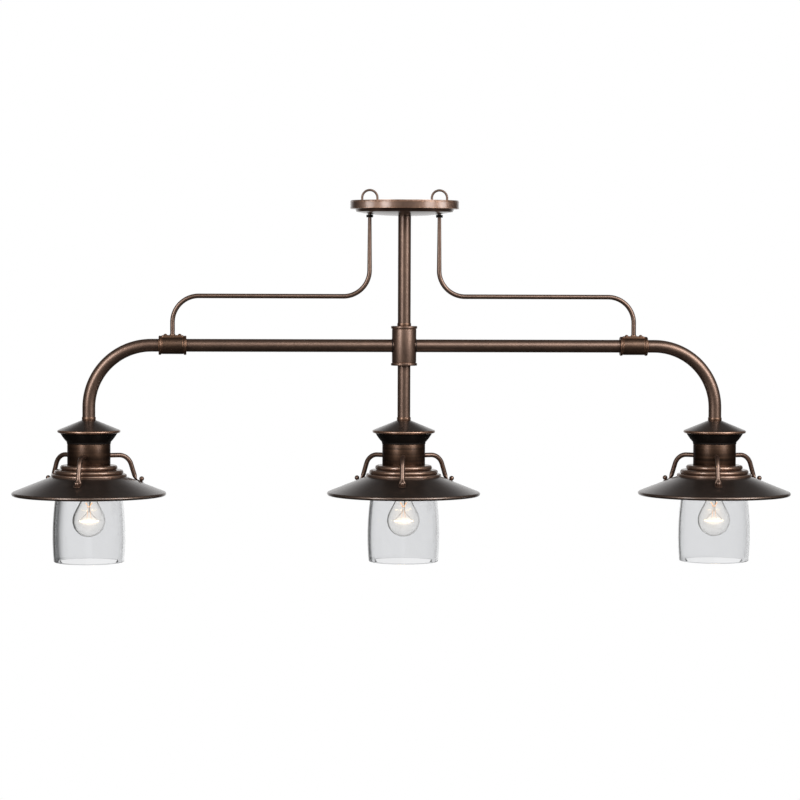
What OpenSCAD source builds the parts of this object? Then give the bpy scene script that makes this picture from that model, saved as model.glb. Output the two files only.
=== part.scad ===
// Billiard light: a canopy, a stem and hub, two arms with elbows, two tie rods and three shaded lamps.
// The origin is the centre of the canopy's rim, which meets the ceiling. +X runs along the arms and +Z is up.

/* [Layout] */
// Distance from the middle lamp's axis to each outer lamp's axis
lamp_spacing = 577; // [540:1:640]
// Depth of the arms' axis below the ceiling
bar_drop = 266.4; // [250:0.1:320]
// Distance from the arms' axis down to the top of each lamp
lamp_drop = 137; // [134:0.5:160]
// Distance from the stem to the upright top stretch of each tie rod
rod_x = 64; // [60:0.5:68]
// Distance from the stem to the centre of each sleeve
sleeve_x = 424.5; // [400:0.5:432]

/* [Tubes] */
// Outer diameter of the stems, arms and elbows
tube_d = 23.6; // [22.4:0.1:25]
// Wall of the stems, arms and elbows
tube_wall = 1.6; // [1.2:0.1:2]
// Bend radius of each elbow's centreline
elbow_r = 114; // [95:1:114]
// Height of the ring at the end of a tube
collar_h = 5.5; // [4:0.1:7]
// How far that ring stands proud of its tube
collar_proud = 0.9; // [0.6:0.1:1.2]
// Length of the threaded plug in the end of a tube
plug_h = 14; // [12:0.5:20]

/* [Hub] */
// Diameter of the hub's body
hub_d = 44.8; // [42:0.1:50]
// Height of the hub
hub_h = 72.5; // [66:0.5:84]
// How far the hub's two lips stand proud
hub_lip_proud = 1.6; // [1:0.1:2.2]
// Height of each of the hub's lips
hub_lip_h = 5; // [3:0.1:7]
// Side wall of the hub
hub_wall = 3.6; // [3:0.1:5]
// Thickness of the hub's top and bottom
hub_end_t = 6.5; // [5:0.1:9]

/* [Sleeves] */
// Length of a sleeve
sleeve_l = 50.6; // [48:0.1:58]
// Body diameter of a sleeve
sleeve_d = 32.2; // [31:0.1:36]
// How far a sleeve's end rings stand proud
sleeve_ring_proud = 1.5; // [1:0.1:2.2]
// Width of a sleeve's end rings
sleeve_ring_w = 4.6; // [3:0.1:6]
// Height of the saddle above a sleeve's body
saddle_h = 2.6; // [2:0.1:4]
// Width of the saddle
saddle_w = 15; // [13:0.1:18]
// Distance from the tie rod to each sleeve screw
sleeve_screw_x = 13; // [11.5:0.1:15]
// Head diameter of a sleeve screw
sleeve_screw_head_d = 7; // [5:0.1:8]
// Shank diameter of a sleeve screw
sleeve_screw_d = 3.5; // [2.5:0.1:4]

/* [Tie rods] */
// Diameter of a tie rod
rod_d = 8.6; // [7.5:0.1:9.5]
// Diameter of a tie rod's threaded top end
rod_thread_d = 6; // [5:0.1:6.4]
// Height of the level stretch above the arms' axis
rod_rise = 90.5; // [84:0.5:100]
// Centreline radius of a tie rod's bends
rod_bend_r = 48; // [38:0.5:52]
// Diameter of the round collar under the canopy
rod_collar_d = 12.4; // [11.5:0.1:14]
// Height of that collar
rod_collar_h = 4.8; // [3.5:0.1:6]

/* [Canopy] */
// Outer diameter of the canopy
canopy_d = 199; // [196:0.5:214]
// Height of the canopy's upright band
band_h = 15.6; // [14:0.1:18]
// Width of the ledge from the band in to the step
canopy_ledge_w = 8.7; // [6:0.1:12]
// Height of the step
step_h = 5.3; // [4.5:0.1:7]
// Depth of the dome below the step
dome_h = 7.2; // [6:0.1:9]
// Diameter of the flat in the middle of the dome
dome_flat_d = 30; // [26:0.5:36]
// Wall of the canopy
canopy_wall = 1.2; // [0.8:0.1:1.6]

/* [Mounting] */
// Distance between the two holes for the ceiling box's screws
box_screw_spacing = 88.9; // [82:0.1:96]
// Diameter of those holes
box_screw_hole_d = 4.6; // [4.2:0.1:5.4]
// Length of the mounting strap
strap_l = 112; // [108:0.5:130]
// Width of the mounting strap
strap_w = 22; // [20:0.5:26]
// Thickness of the mounting strap
strap_t = 2.5; // [2:0.1:2.8]
// Length of the support bar
bar_l = 178; // [174:0.5:182]
// Width of the support bar
bar_w = 20; // [18:0.5:24]
// Thickness of the support bar
bar_t = 3; // [2.6:0.1:3.2]
// Outer diameter of the stud on top of the hickey
stud_d = 10; // [9:0.1:12]
// Outer diameter of the hickey
hickey_d = 21; // [20:0.1:24]
// Height of the hickey's threaded foot
hickey_foot_h = 6.5; // [5:0.1:7]
// Thickness of the hickey's head
hickey_head_h = 2.8; // [2.2:0.1:2.9]
// Distance between the inner faces of the hickey's two posts
hickey_gap = 12.4; // [11:0.1:13]

/* [Hanging loops] */
// Outer width of a hanging loop
loop_w = 32.2; // [29:0.1:33]
// Wire diameter of a hanging loop
loop_wire_d = 4.2; // [3.6:0.1:4.8]
// Height of a hanging loop above the ceiling line
loop_rise = 21; // [18:0.1:26]

/* [Nipples and nuts] */
// Outer diameter of the threaded nipples
nipple_d = 13.2; // [12.8:0.1:13.6]
// Bore of the threaded nipples
nipple_bore = 9.5; // [9.2:0.1:10]
// Width across the flats of the lock nuts
lock_nut_af = 19; // [17:0.1:20]
// Thickness of the lock nuts
lock_nut_h = 3; // [2.4:0.1:3.2]
// Width across the flats of the small nuts on rods and loops
small_nut_af = 9; // [8.6:0.1:10]
// Thickness of the small nuts
small_nut_h = 4; // [3:0.1:4.4]

/* [Lamp cap and neck] */
// Outer diameter of the cap's brim
cap_d = 115.4; // [110:0.2:120]
// Height from the cap's top to the middle of its rolled brim
cap_h = 20.6; // [18:0.1:23]
// Diameter of the cap's rolled brim
cap_bead_d = 5.5; // [4.5:0.1:6.5]
// Diameter of the flat on top of the cap
cap_top_d = 25; // [24:0.1:28]
// Depth of the neck's top below the lamp's top
flare_foot = 43.5; // [41:0.1:46]
// Diameter of the flared ring where it meets the cap
flare_d = 105; // [102:0.5:107]
// Height of the upright lip at the foot of the flared ring
flare_lip_h = 3.5; // [2:0.1:5]
// How far the flared ring's foot stands proud of the neck
flare_proud = 0.8; // [0.4:0.1:1.6]
// Diameter of the neck
neck_d = 78.8; // [76:0.2:82]
// Height of the neck
neck_h = 39; // [36:0.1:44]
// Wall of the cap, the flared ring, the neck and the shade
sheet_t = 1.1; // [0.9:0.1:1.3]
// Thickness of the plates across the flared ring and the neck
plate_t = 1.6; // [1.2:0.1:2]
// Width of the neck's foot, which is turned inwards
foot_w = 7; // [5:0.5:9]

/* [Shade] */
// Outer diameter of the shade's rolled rim
shade_d = 282; // [270:1:300]
// Slope of the shade's cone below the level
shade_slope = 21.8; // [20:0.1:24]
// Diameter of the rolled rim
rim_bead_d = 7; // [6:0.1:8]
// Diameter of the first stepped ring
ring1_d = 104.6; // [102:0.2:108]
// Diameter of the second stepped ring
ring2_d = 126.2; // [123:0.2:129]
// Diameter of the third stepped ring
ring3_d = 138.4; // [136:0.2:141]
// Height of the first stepped ring
ring1_h = 8.4; // [7.5:0.1:9.5]
// Height of the second stepped ring
ring2_h = 8.6; // [7.5:0.1:9.5]
// Height of the third stepped ring
ring3_h = 6; // [5.4:0.1:6.6]

/* [Hooks] */
// Rod diameter of a hook
hook_d = 8.6; // [7.6:0.1:9.4]
// Depth of the hooks' level stretch below the lamp's top
hook_z = 65.5; // [62:0.1:68]
// Distance from the lamp's axis at which a hook starts to bend
hook_bend_x = 57.5; // [55:0.1:60]
// Centreline radius of a hook's bend
hook_bend_r = 24.5; // [22:0.1:27]
// Angle at which a hook's leg meets the shade, below the level
hook_lean = 72; // [69:0.1:75]
// Width of a hook's foot
hook_foot_w = 14; // [12:0.1:16]
// Thickness of a hook's foot
hook_foot_t = 2.2; // [1.8:0.1:2.6]
// Distance from a hook's leg to its ball screw, along the foot
hook_screw_gap = 9.2; // [8.8:0.1:11]
// Diameter of the ball on a hook's screw
hook_ball_d = 9; // [8:0.1:10]
// Shank diameter of a hook's screw
hook_screw_d = 3.6; // [3:0.1:4.2]
// Turn of the left, middle and right lamp's hooks from the front towards the left, in degrees
hook_twist = [10, 5, 5]; // [0:1:59]

/* [Socket] */
// Depth of the socket's top below the lamp's top
socket_top = 70; // [66:0.5:72]
// Diameter of the socket's body
socket_d = 38; // [37.6:0.1:39]
// Diameter of the socket's threaded skirt, which takes the retaining ring
skirt_d = 40; // [39.6:0.1:41]
// Diameter of the socket's shoulder, which the glass bears on
shoulder_d = 50; // [48:0.5:56]
// Bore of the socket's body
socket_bore = 29.4; // [29.2:0.1:31]
// Thickness of the insulating disc across the socket
disc_t = 3; // [2.4:0.1:3.4]
// Inner diameter of the brass screw shell
shell_bore = 26.7; // [26.6:0.1:27.4]
// Wall of the brass screw shell
shell_wall = 0.8; // [0.5:0.1:1]

/* [Bulb] */
// Diameter of the bulb
bulb_d = 60; // [58:0.5:62]
// Length of the bulb with its base
bulb_l = 110; // [107:0.5:113]
// Depth of the bulb's top below the lamp's top
bulb_top = 104.8; // [104:0.1:106]
// Diameter of the bulb's screw base
base_d = 26.1; // [25.8:0.1:26.2]
// Length of the bulb's screw base
base_l = 27; // [26:0.5:28]
// Wall of the bulb's glass
bulb_wall = 0.8; // [0.6:0.1:1]
// Width of the filament
filament_w = 34; // [28:0.5:38]

/* [Glass and ring] */
// Greatest diameter of the glass
glass_d = 132.8; // [129:0.2:136]
// Depth of the glass's top face below the lamp's top
glass_top = 118; // [117:0.1:119]
// Height of the glass
glass_h = 142; // [136:0.5:150]
// Height of the glass's widest place above its mouth
glass_belly = 48; // [42:0.5:54]
// Profile radius of the glass's bulged side
glass_bulge_r = 500; // [450:1:700]
// Wall of the glass
glass_wall = 3.6; // [3:0.1:4.2]
// Radius of the glass's rounded shoulder
glass_shoulder_r = 14; // [10:0.5:18]
// Diameter of the hole in the glass's top
glass_hole_d = 42; // [41.8:0.1:43]
// Outer diameter of the retaining ring's flange
ring_flange_d = 54; // [50:0.5:58]
// Thickness of the retaining ring's flange
ring_flange_t = 2.4; // [2:0.1:3]
// Height of the retaining ring
ring_h = 8; // [7:0.1:8.4]
// Wall of the retaining ring's barrel
ring_wall = 2.6; // [2:0.1:3]

/* [Wiring] */
// Diameter of a lead wire
wire_d = 2.4; // [2:0.05:2.45]
// Distance between neighbouring lead wires in a nipple
wire_pitch = 2.9; // [2.8:0.05:3]
// Diameter of a wire connector's mouth
connector_d = 10.6; // [10:0.1:11]
// Length of a wire connector
connector_l = 20; // [18:0.5:24]
// Distance from the stem's axis to a wire connector's mouth
connector_x = 16; // [14:0.5:18]

/* [Clearances] */
// Gap all round a piece that is pressed, screwed or slid into its hole
fit = 0.05; // [0.03:0.01:0.08]
// Gap all round a screw or a rod in its clearance hole
clearance = 0.3; // [0.2:0.05:0.5]
// Gap between a piece that moves and its neighbour
running = 0.3; // [0.25:0.05:0.4]

/* [Hidden] */
$fn = 64;
LAMPS = ["left", "middle", "right"];
LAMP_PIECES = ["cap", "flared_ring", "neck", "shade", "hooks", "glass", "retaining_ring",
    "bulb_glass", "bulb_base", "bulb_contact", "filament"];
FIXTURE_PIECES = ["mounting_strap", "support_bar", "hickey", "canopy", "nipples", "lock_nuts",
    "hanging_loops", "loop_nuts", "tie_rod_left", "tie_rod_right", "tie_rod_nuts",
    "stem_upper", "stem_lower", "hub", "arm_left", "arm_right", "elbow_left", "elbow_right",
    "sleeve_left", "sleeve_right", "sleeve_screws", "tube_collars",
    "socket_bodies", "socket_contacts", "hook_screws", "lead_wires", "wire_connectors"];

bronze = [0.33, 0.22, 0.16];
dark_bronze = [0.16, 0.13, 0.12];
near_black = [0.06, 0.06, 0.055];
copper_edge = [0.5, 0.33, 0.22];
steel = [0.68, 0.68, 0.66];
brass = [0.78, 0.62, 0.3];
clear_glass = [0.82, 0.87, 0.9, 0.4];
warm_glow = [1, 0.82, 0.5];
black_plastic = [0.08, 0.08, 0.08];
orange_plastic = [0.85, 0.4, 0.1];

lamp_x = [-lamp_spacing, 0, lamp_spacing];
bar_z = -bar_drop;
lamp_z = bar_z - lamp_drop;
tube_r = tube_d / 2;
tube_bore_r = tube_r - tube_wall;
nipple_hole_r = nipple_d / 2 + fit;

// How far a cutting form runs past the piece it cuts, and a joined form into its neighbour
over = 1;

// Straights run this far into a bend that isn't square, and the bend is drawn in by a hair to join cleanly
bend_lap = 0.3;
bend_step = 0.05;

// Canopy heights, from the ceiling down
step_z = -band_h - step_h;
dome_z = step_z - dome_h;
canopy_floor_z = dome_z + canopy_wall;
bar_bottom_z = -strap_t - bar_t;
hickey_head_z = bar_bottom_z - hickey_head_h;
step_d = canopy_d - 2 * canopy_ledge_w;
hickey_foot_z = canopy_floor_z + lock_nut_h + clearance;
hickey_foot_top_z = hickey_foot_z + hickey_foot_h;
window_h = hickey_head_z - hickey_foot_top_z;
shoulder_z = bar_bottom_z - small_nut_h - 1;
loop_leg_x = (loop_w - loop_wire_d) / 2;
nipple_hold = 12;

// Hub and arms
hub_r = hub_d / 2;
hub_bore_r = hub_r - hub_wall;
hub_cavity_h = hub_h - 2 * hub_end_t;
arm_start_x = hub_bore_r;
tube_joint_gap = 1;

// Lamp heights, below the lamp's top
flare_tuck = 2;
cap_slope = heading([cap_d / 2 - cap_bead_d / 2 - cap_top_d / 2, cap_h - cap_bead_d / 2]);
cap_inner_r = cap_top_d / 2 - sheet_t * tan(cap_slope / 2);
flare_top_z = cap_inner_z(flare_d / 2 - flare_tuck) - fit;
neck_top_z = -flare_foot;
neck_foot_z = neck_top_z - neck_h;
ring_radii = [ring1_h, ring2_h, ring3_h] / 2;
ring1_z = neck_foot_z - ring_radii[0];
ring2_z = ring1_z - ring_radii[0] - ring_radii[1];
ring3_tuck = 1;
ring3_z = ring2_z - ring_radii[1] - ring_radii[2] + ring3_tuck;
ring_centres = [[ring1_d / 2 - ring_radii[0], ring1_z], [ring2_d / 2 - ring_radii[1], ring2_z],
    [ring3_d / 2 - ring_radii[2], ring3_z]];
cone_start = [0.4, 0.3];
cone_top_r = ring3_d / 2 + cone_start.x;
cone_top_z = ring3_z - ring3_h / 2 + cone_start.y;
rim_r = shade_d / 2 - rim_bead_d / 2;
rim_z = cone_z(rim_r) - rim_bead_d / 2 / cos(shade_slope);
glass_mouth_z = -glass_top - glass_h;

// Bulb heights, below the lamp's top
contact_h = 2.2;
insulator_h = 3.4;
shell_top_z = -bulb_top - contact_h - insulator_h;
base_foot_z = -bulb_top - base_l;
bulb_centre_z = -bulb_top - bulb_l + bulb_d / 2;
seal_h = 8;
thread_pitch = 3.63;
thread_turns = 5;
thread_bead_r = 1.25;
thread_depth = 0.9;
base_wall = 0.6;
base_root_r = base_d / 2 - thread_depth;
bulb_neck_r = base_root_r - base_wall - fit;

// Socket heights, below the lamp's top
socket_head_h = 8;
contact_chamber_h = 12.8;
disc_top_z = -bulb_top + contact_chamber_h;
disc_foot_z = disc_top_z - disc_t;
bearing_z = -glass_top + running;
bearing_h = 5;
skirt_h = 13;
skirt_foot_z = -glass_top - skirt_h;
ring_top_z = -glass_top - glass_wall - running;
nipple_foot_z = -socket_top - socket_head_h;
shell_rivet_x = 11;
centre_rivet_x = -5.5;
rivet_r = 1.2;

// Hooks
hook_leg = bend_end([0, -hook_z], hook_bend_x, hook_bend_r, hook_lean);
hook_foot_r = meet_cone(hook_leg, hook_lean);
foot_start = hook_foot_r - hook_d / 2 - over;
foot_end = hook_foot_r + (hook_screw_gap + hook_ball_d / 2) * cos(shade_slope);
hook_screw_r = hook_foot_r + hook_screw_gap * cos(shade_slope);

// Wiring: the planes and the heights of the leads in the canopy
lead_y = wire_pitch / 2;
lead_x = round(wire_pitch * cos(30) * 100) / 100;
lead_bend_r = 4;
lead_layer = 2.1;
lead_high_z = hickey_head_z - 1.5;
lead_mid_z = lead_high_z - lead_layer;
lead_low_z = lead_mid_z - lead_layer;
lead_grip = 6;
lead_end_x = connector_x + lead_grip;
connector_y = lead_y * 4 / 3;

// Height of the cap's underside at a distance from the lamp's axis
function cap_inner_z(r) =
    -sheet_t - (r - cap_inner_r) * (cap_h - sheet_t) / (cap_d / 2 - cap_bead_d - cap_inner_r);

// Height of the shade's cone, outside, at a distance from the lamp's axis
function cone_z(r) = cone_top_z - (r - cone_top_r) * tan(shade_slope);

// Where a hook's bend ends, from where it starts, its radius and its angle
function bend_end(start, x, r, turn) = [x + r * sin(turn), start.y - r * (1 - cos(turn))];

// Distance from the lamp's axis at which a leg from a point, at a lean, meets the cone
function meet_cone(p, lean) =
    (cone_top_z + cone_top_r * tan(shade_slope) - p.y - p.x * tan(lean)) / (tan(shade_slope) - tan(lean));

// Points of an arc in the plane, from one angle to another
function arc(c, r, from, to, n) =
    [for (i = [0:n]) c + r * [cos(from + (to - from) * i / n), sin(from + (to - from) * i / n)]];

// Points of a smooth cubic curve with four control points
function curve(a, b, c, d, n) =
    [for (i = [0:n]) let (t = i / n, u = 1 - t)
        u * u * u * a + 3 * u * u * t * b + 3 * u * t * t * c + t * t * t * d];

function unit(v) = v / norm(v);
function turn_of(a, b) = atan2(a.x * b.y - a.y * b.x, a * b);
function heading(v) = atan2(v.y, v.x);
function is_square(turn) = abs(abs(turn) - 90) < 0.01;

// A round profile, hollow where it has a bore
module round_profile(d, bore) {
    difference() {
        circle(d = d);
        if (bore > 0) circle(d = bore);
    }
}

// One straight stretch in the XY plane
module straight(from, to, d, bore) {
    translate([from.x, from.y, 0])
        rotate([0, 90, heading(to - from)])
            linear_extrude(norm(to - from)) round_profile(d, bore);
}

// One bend at a corner of a route in the XY plane
module bend(before, corner, after, r, d, bore) {
    a = unit(corner - before);
    turn = turn_of(a, unit(after - corner));
    side = sign(turn);
    start = corner - a * r * tan(abs(turn) / 2);
    centre = start + side * r * [-a.y, a.x];
    first = heading(start - centre) + min(turn, 0);
    step = is_square(turn) ? 0 : bend_step;
    translate([centre.x, centre.y, 0])
        rotate([0, 0, first])
            rotate_extrude(angle = abs(turn)) translate([r, 0])
                round_profile(d - 2 * step, bore > 0 ? bore + 2 * step : 0);
}

// A rod or tube bent along points in the XZ plane, with a radius for each corner
module bent_rod(points, radii, d, bore = 0) {
    last = len(points) - 1;
    turns = [for (i = [0:last])
        i == 0 || i == last ? 0 : turn_of(points[i] - points[i - 1], points[i + 1] - points[i])];
    trim = [for (i = [0:last])
        i == 0 || i == last ? 0 :
            radii[i - 1] * tan(abs(turns[i]) / 2) - (is_square(turns[i]) ? 0 : bend_lap)];
    rotate([90, 0, 0])
        union() {
            for (i = [0:last - 1]) {
                way = unit(points[i + 1] - points[i]);
                straight(points[i] + way * trim[i], points[i + 1] - way * trim[i + 1], d, bore);
            }
            for (i = [1:last - 1]) bend(points[i - 1], points[i], points[i + 1], radii[i - 1], d, bore);
        }
}

// A hexagonal nut that stands on z = 0
module hex_nut(af, h, bore) {
    difference() {
        cylinder(d = af / cos(30), h = h, $fn = 6);
        translate([0, 0, -over]) cylinder(r = bore, h = h + 2 * over);
    }
}

// A ring or washer that stands on z = 0
module ring(r, bore, h) {
    difference() {
        cylinder(r = r, h = h);
        translate([0, 0, -over]) cylinder(r = bore, h = h + 2 * over);
    }
}

// Children at a lamp, with z = 0 at its top
module at_lamp(i) {
    translate([lamp_x[i], 0, lamp_z]) children();
}

// Children at each of a lamp's three hooks, with +X pointing outwards
module at_hooks(i) {
    for (k = [0:2]) rotate([0, 0, -90 - hook_twist[i] + 120 * k]) children();
}

// Children on both sides of the stem
module both_sides() {
    for (side = [-1, 1]) scale_x(side) children();
}

module scale_x(side) {
    if (side < 0) mirror([1, 0, 0]) children();
    else children();
}

// Canopy and mounting

module mounting_strap() {
    color(steel)
        difference() {
            translate([-strap_w / 2, -strap_l / 2, -strap_t]) cube([strap_w, strap_l, strap_t]);
            for (side = [-1, 1])
                translate([0, side * box_screw_spacing / 2, -strap_t - over])
                    cylinder(d = box_screw_hole_d, h = strap_t + 2 * over);
            translate([0, 0, -strap_t - over]) cylinder(r = stud_d / 2 + fit, h = strap_t + 2 * over);
        }
}

module support_bar() {
    hole_h = bar_t + 2 * over;
    color(steel)
        difference() {
            translate([-bar_l / 2, -bar_w / 2, bar_bottom_z]) cube([bar_l, bar_w, bar_t]);
            translate([0, 0, bar_bottom_z - over]) {
                cylinder(r = stud_d / 2 + fit, h = hole_h);
                for (side = [-1, 1]) {
                    translate([side * rod_x, 0, 0]) cylinder(r = rod_thread_d / 2 + fit, h = hole_h);
                    for (leg = [-1, 1])
                        translate([side * rod_x + leg * loop_leg_x, 0, 0])
                            cylinder(r = loop_wire_d / 2 + fit, h = hole_h);
                }
            }
        }
}

// The open fitting that joins the stem's nipple to the bar and lets the leads out sideways
module hickey() {
    post_w = 8;
    post_t = (hickey_d - hickey_gap) / 2;
    post_foot_z = hickey_foot_top_z - over / 2;
    post_h = window_h + over;
    color(steel)
        union() {
            translate([0, 0, hickey_foot_z]) ring(hickey_d / 2, nipple_hole_r, hickey_foot_h);
            intersection() {
                translate([0, 0, post_foot_z]) cylinder(d = hickey_d, h = post_h);
                for (side = [-1, 1])
                    translate([-post_w / 2, side < 0 ? -hickey_d / 2 : hickey_gap / 2, post_foot_z])
                        cube([post_w, post_t, post_h]);
            }
            translate([0, 0, hickey_head_z]) cylinder(d = hickey_d, h = hickey_head_h);
            translate([0, 0, hickey_head_z + over])
                cylinder(d = stud_d, h = -hickey_head_z - over - clearance);
        }
}

// Side view of the canopy's outer form, drawn in by a gap
module canopy_outline(gap) {
    flat_r = dome_flat_d / 2;
    step_r = step_d / 2 - gap;
    dome_r = (pow(step_r - flat_r, 2) + dome_h * dome_h) / (2 * dome_h);
    rise = asin((step_r - flat_r) / dome_r);
    polygon(concat(
        [[0, over], [canopy_d / 2 - gap, over], [canopy_d / 2 - gap, -band_h + gap],
            [step_r, -band_h + gap], [step_r, step_z + gap]],
        arc([flat_r, dome_z + gap + dome_r], dome_r, -90 + rise, -90, 10),
        [[0, dome_z + gap]]));
}

module canopy() {
    color(bronze)
        difference() {
            rotate_extrude() difference() {
                canopy_outline(0);
                canopy_outline(canopy_wall);
                square([canopy_d, canopy_d]);
            }
            translate([0, 0, dome_z - over]) cylinder(r = nipple_hole_r, h = canopy_wall + 2 * over);
            for (side = [-1, 1])
                translate([side * rod_x, 0, dome_z - over])
                    cylinder(r = rod_d / 2 + clearance, h = dome_h + 2 * over);
        }
}

module nipples() {
    end_gap = 3;
    color(steel) {
        translate([0, 0, dome_z - nipple_hold])
            ring(nipple_d / 2, nipple_bore / 2, hickey_foot_top_z - end_gap - dome_z + nipple_hold);
        for (i = [0:2])
            at_lamp(i)
                translate([0, 0, nipple_foot_z + over])
                    ring(nipple_d / 2, nipple_bore / 2, nipple_hold - nipple_foot_z - over);
    }
}

module lock_nuts() {
    color(steel) {
        translate([0, 0, canopy_floor_z]) hex_nut(lock_nut_af, lock_nut_h, nipple_hole_r);
        for (i = [0:2], z = [-sheet_t - lock_nut_h, neck_top_z + plate_t, neck_top_z - plate_t - lock_nut_h])
            at_lamp(i) translate([0, 0, z]) hex_nut(lock_nut_af, lock_nut_h, nipple_hole_r);
    }
}

module hanging_loops() {
    crown = loop_rise - loop_wire_d / 2 - loop_leg_x;
    color(bronze)
        both_sides() translate([rod_x, 0, 0]) rotate([90, 0, 0]) union() {
            translate([0, crown, 0])
                rotate_extrude(angle = 180) translate([loop_leg_x, 0]) circle(d = loop_wire_d);
            for (leg = [-1, 1])
                straight([leg * loop_leg_x, shoulder_z], [leg * loop_leg_x, crown], loop_wire_d, 0);
        }
}

module loop_nuts() {
    color(steel)
        for (side = [-1, 1], leg = [-1, 1])
            translate([side * rod_x + leg * loop_leg_x, 0, bar_bottom_z - small_nut_h])
                hex_nut(small_nut_af, small_nut_h, loop_wire_d / 2 + fit);
}

// Tie rods

module tie_rod(side) {
    level = bar_z + rod_rise;
    foot = bar_z + tube_r + clearance;
    color(bronze)
        scale_x(side) union() {
            bent_rod([[rod_x, shoulder_z], [rod_x, level], [sleeve_x, level], [sleeve_x, foot]],
                [rod_bend_r, rod_bend_r], rod_d);
            translate([rod_x, 0, shoulder_z - over])
                cylinder(d = rod_thread_d, h = -strap_t - shoulder_z + over);
        }
}

// The nut that locks each rod under the bar, and the round collar that shows under the canopy
module tie_rod_nuts() {
    collar_foot = dome_edge_z(rod_x - rod_collar_d / 2) - clearance - rod_collar_h;
    color(near_black)
        both_sides() translate([rod_x, 0, 0]) {
            translate([0, 0, bar_bottom_z - small_nut_h])
                hex_nut(small_nut_af, small_nut_h, rod_thread_d / 2 + fit);
            translate([0, 0, collar_foot]) ring(rod_collar_d / 2, rod_d / 2 + fit, rod_collar_h);
        }
}

// Height of the canopy's dome, outside, at a distance from its axis
function dome_edge_z(r) =
    let (flat_r = dome_flat_d / 2, w = step_d / 2 - flat_r, dome_r = (w * w + dome_h * dome_h) / (2 * dome_h))
        dome_z + dome_r - sqrt(dome_r * dome_r - pow(max(r - flat_r, 0), 2));

// Stem, hub and arms

// A threaded plug's ring of metal in the end of a tube
module tube_plug(h) {
    ring(tube_bore_r + tube_wall / 8, nipple_hole_r, h);
}

module stem_upper() {
    foot = bar_z + hub_cavity_h / 2;
    color(bronze)
        union() {
            translate([0, 0, foot]) ring(tube_r, tube_bore_r, dome_z - foot);
            translate([0, 0, dome_z - plug_h]) tube_plug(plug_h);
        }
}

module stem_lower() {
    top = bar_z - hub_cavity_h / 2;
    color(bronze)
        union() {
            translate([0, 0, lamp_z]) ring(tube_r, tube_bore_r, top - lamp_z);
            translate([0, 0, lamp_z]) tube_plug(plug_h);
        }
}

module hub() {
    color(bronze)
        translate([0, 0, bar_z])
            difference() {
                union() {
                    cylinder(r = hub_r, h = hub_h, center = true);
                    for (end = [-1, 1])
                        translate([0, 0, end * (hub_h - hub_lip_h) / 2])
                            cylinder(r = hub_r + hub_lip_proud, h = hub_lip_h, center = true);
                }
                cylinder(r = hub_bore_r, h = hub_cavity_h, center = true);
                cylinder(r = tube_r + fit, h = hub_h + 2 * over, center = true);
                rotate([0, 90, 0]) cylinder(r = tube_r + fit, h = hub_d + 2 * over, center = true);
            }
}

module arm(side) {
    color(bronze)
        scale_x(side)
            translate([arm_start_x, 0, bar_z]) rotate([0, 90, 0])
                ring(tube_r, tube_bore_r, sleeve_x - tube_joint_gap / 2 - arm_start_x);
}

module elbow(side) {
    color(bronze)
        scale_x(side) union() {
            bent_rod([[sleeve_x + tube_joint_gap / 2, bar_z], [lamp_spacing, bar_z], [lamp_spacing, lamp_z]],
                [elbow_r], tube_d, 2 * tube_bore_r);
            translate([lamp_spacing, 0, lamp_z]) tube_plug(plug_h);
        }
}

// A cast sleeve over the joint of an arm and its elbow, with a saddle on top for the tie rod
module sleeve(side) {
    body_r = sleeve_d / 2;
    saddle_l = sleeve_l - 2 * sleeve_ring_w;
    color(bronze)
        scale_x(side)
            translate([sleeve_x, 0, bar_z])
                difference() {
                    union() {
                        rotate([0, 90, 0]) cylinder(r = body_r, h = sleeve_l, center = true);
                        for (end = [-1, 1])
                            translate([end * (sleeve_l - sleeve_ring_w) / 2, 0, 0]) rotate([0, 90, 0])
                                cylinder(r = body_r + sleeve_ring_proud, h = sleeve_ring_w, center = true);
                        translate([-saddle_l / 2, -saddle_w / 2, 0])
                            cube([saddle_l, saddle_w, body_r + saddle_h]);
                    }
                    rotate([0, 90, 0]) cylinder(r = tube_r + fit, h = sleeve_l + 2 * over, center = true);
                    cylinder(r = rod_d / 2 + fit, h = sleeve_d);
                    for (end = [-1, 1])
                        translate([end * sleeve_screw_x, 0, 0])
                            cylinder(r = sleeve_screw_d / 2 + fit, h = sleeve_d);
                }
}

// Pan-headed screws that hold the tubes in the sleeves
module sleeve_screws() {
    seat = bar_z + sleeve_d / 2 + saddle_h;
    tip = bar_z + tube_r + clearance;
    head_r = sleeve_screw_head_d / 2;
    ball_r = head_r * 1.06;
    sink = head_r * 0.35;
    color(bronze)
        both_sides()
            for (end = [-1, 1])
                translate([sleeve_x + end * sleeve_screw_x, 0, 0])
                    union() {
                        translate([0, 0, tip]) cylinder(d = sleeve_screw_d, h = seat - tip + over);
                        intersection() {
                            translate([0, 0, seat - sink]) sphere(r = ball_r);
                            translate([0, 0, seat]) cylinder(r = head_r, h = head_r);
                        }
                    }
}

// The ring at the foot of the upper stem and at the end of each tube that carries a lamp
module tube_collars() {
    color(copper_edge) {
        translate([0, 0, bar_z + hub_h / 2]) ring(tube_r + collar_proud, tube_r + fit, collar_h);
        for (i = [0:2]) at_lamp(i) ring(tube_r + collar_proud, tube_r + fit, collar_h);
    }
}

// Lamps

module cap(i) {
    bead_r = cap_bead_d / 2;
    bead = [cap_d / 2 - bead_r, -cap_h];
    top_r = cap_top_d / 2;
    color(dark_bronze)
        at_lamp(i)
            rotate_extrude()
                polygon(concat([[nipple_hole_r, 0], [top_r, 0]],
                    arc(bead, bead_r, 90 - cap_slope, -180, 12),
                    [[cap_inner_r, -sheet_t], [nipple_hole_r, -sheet_t]]));
}

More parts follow.
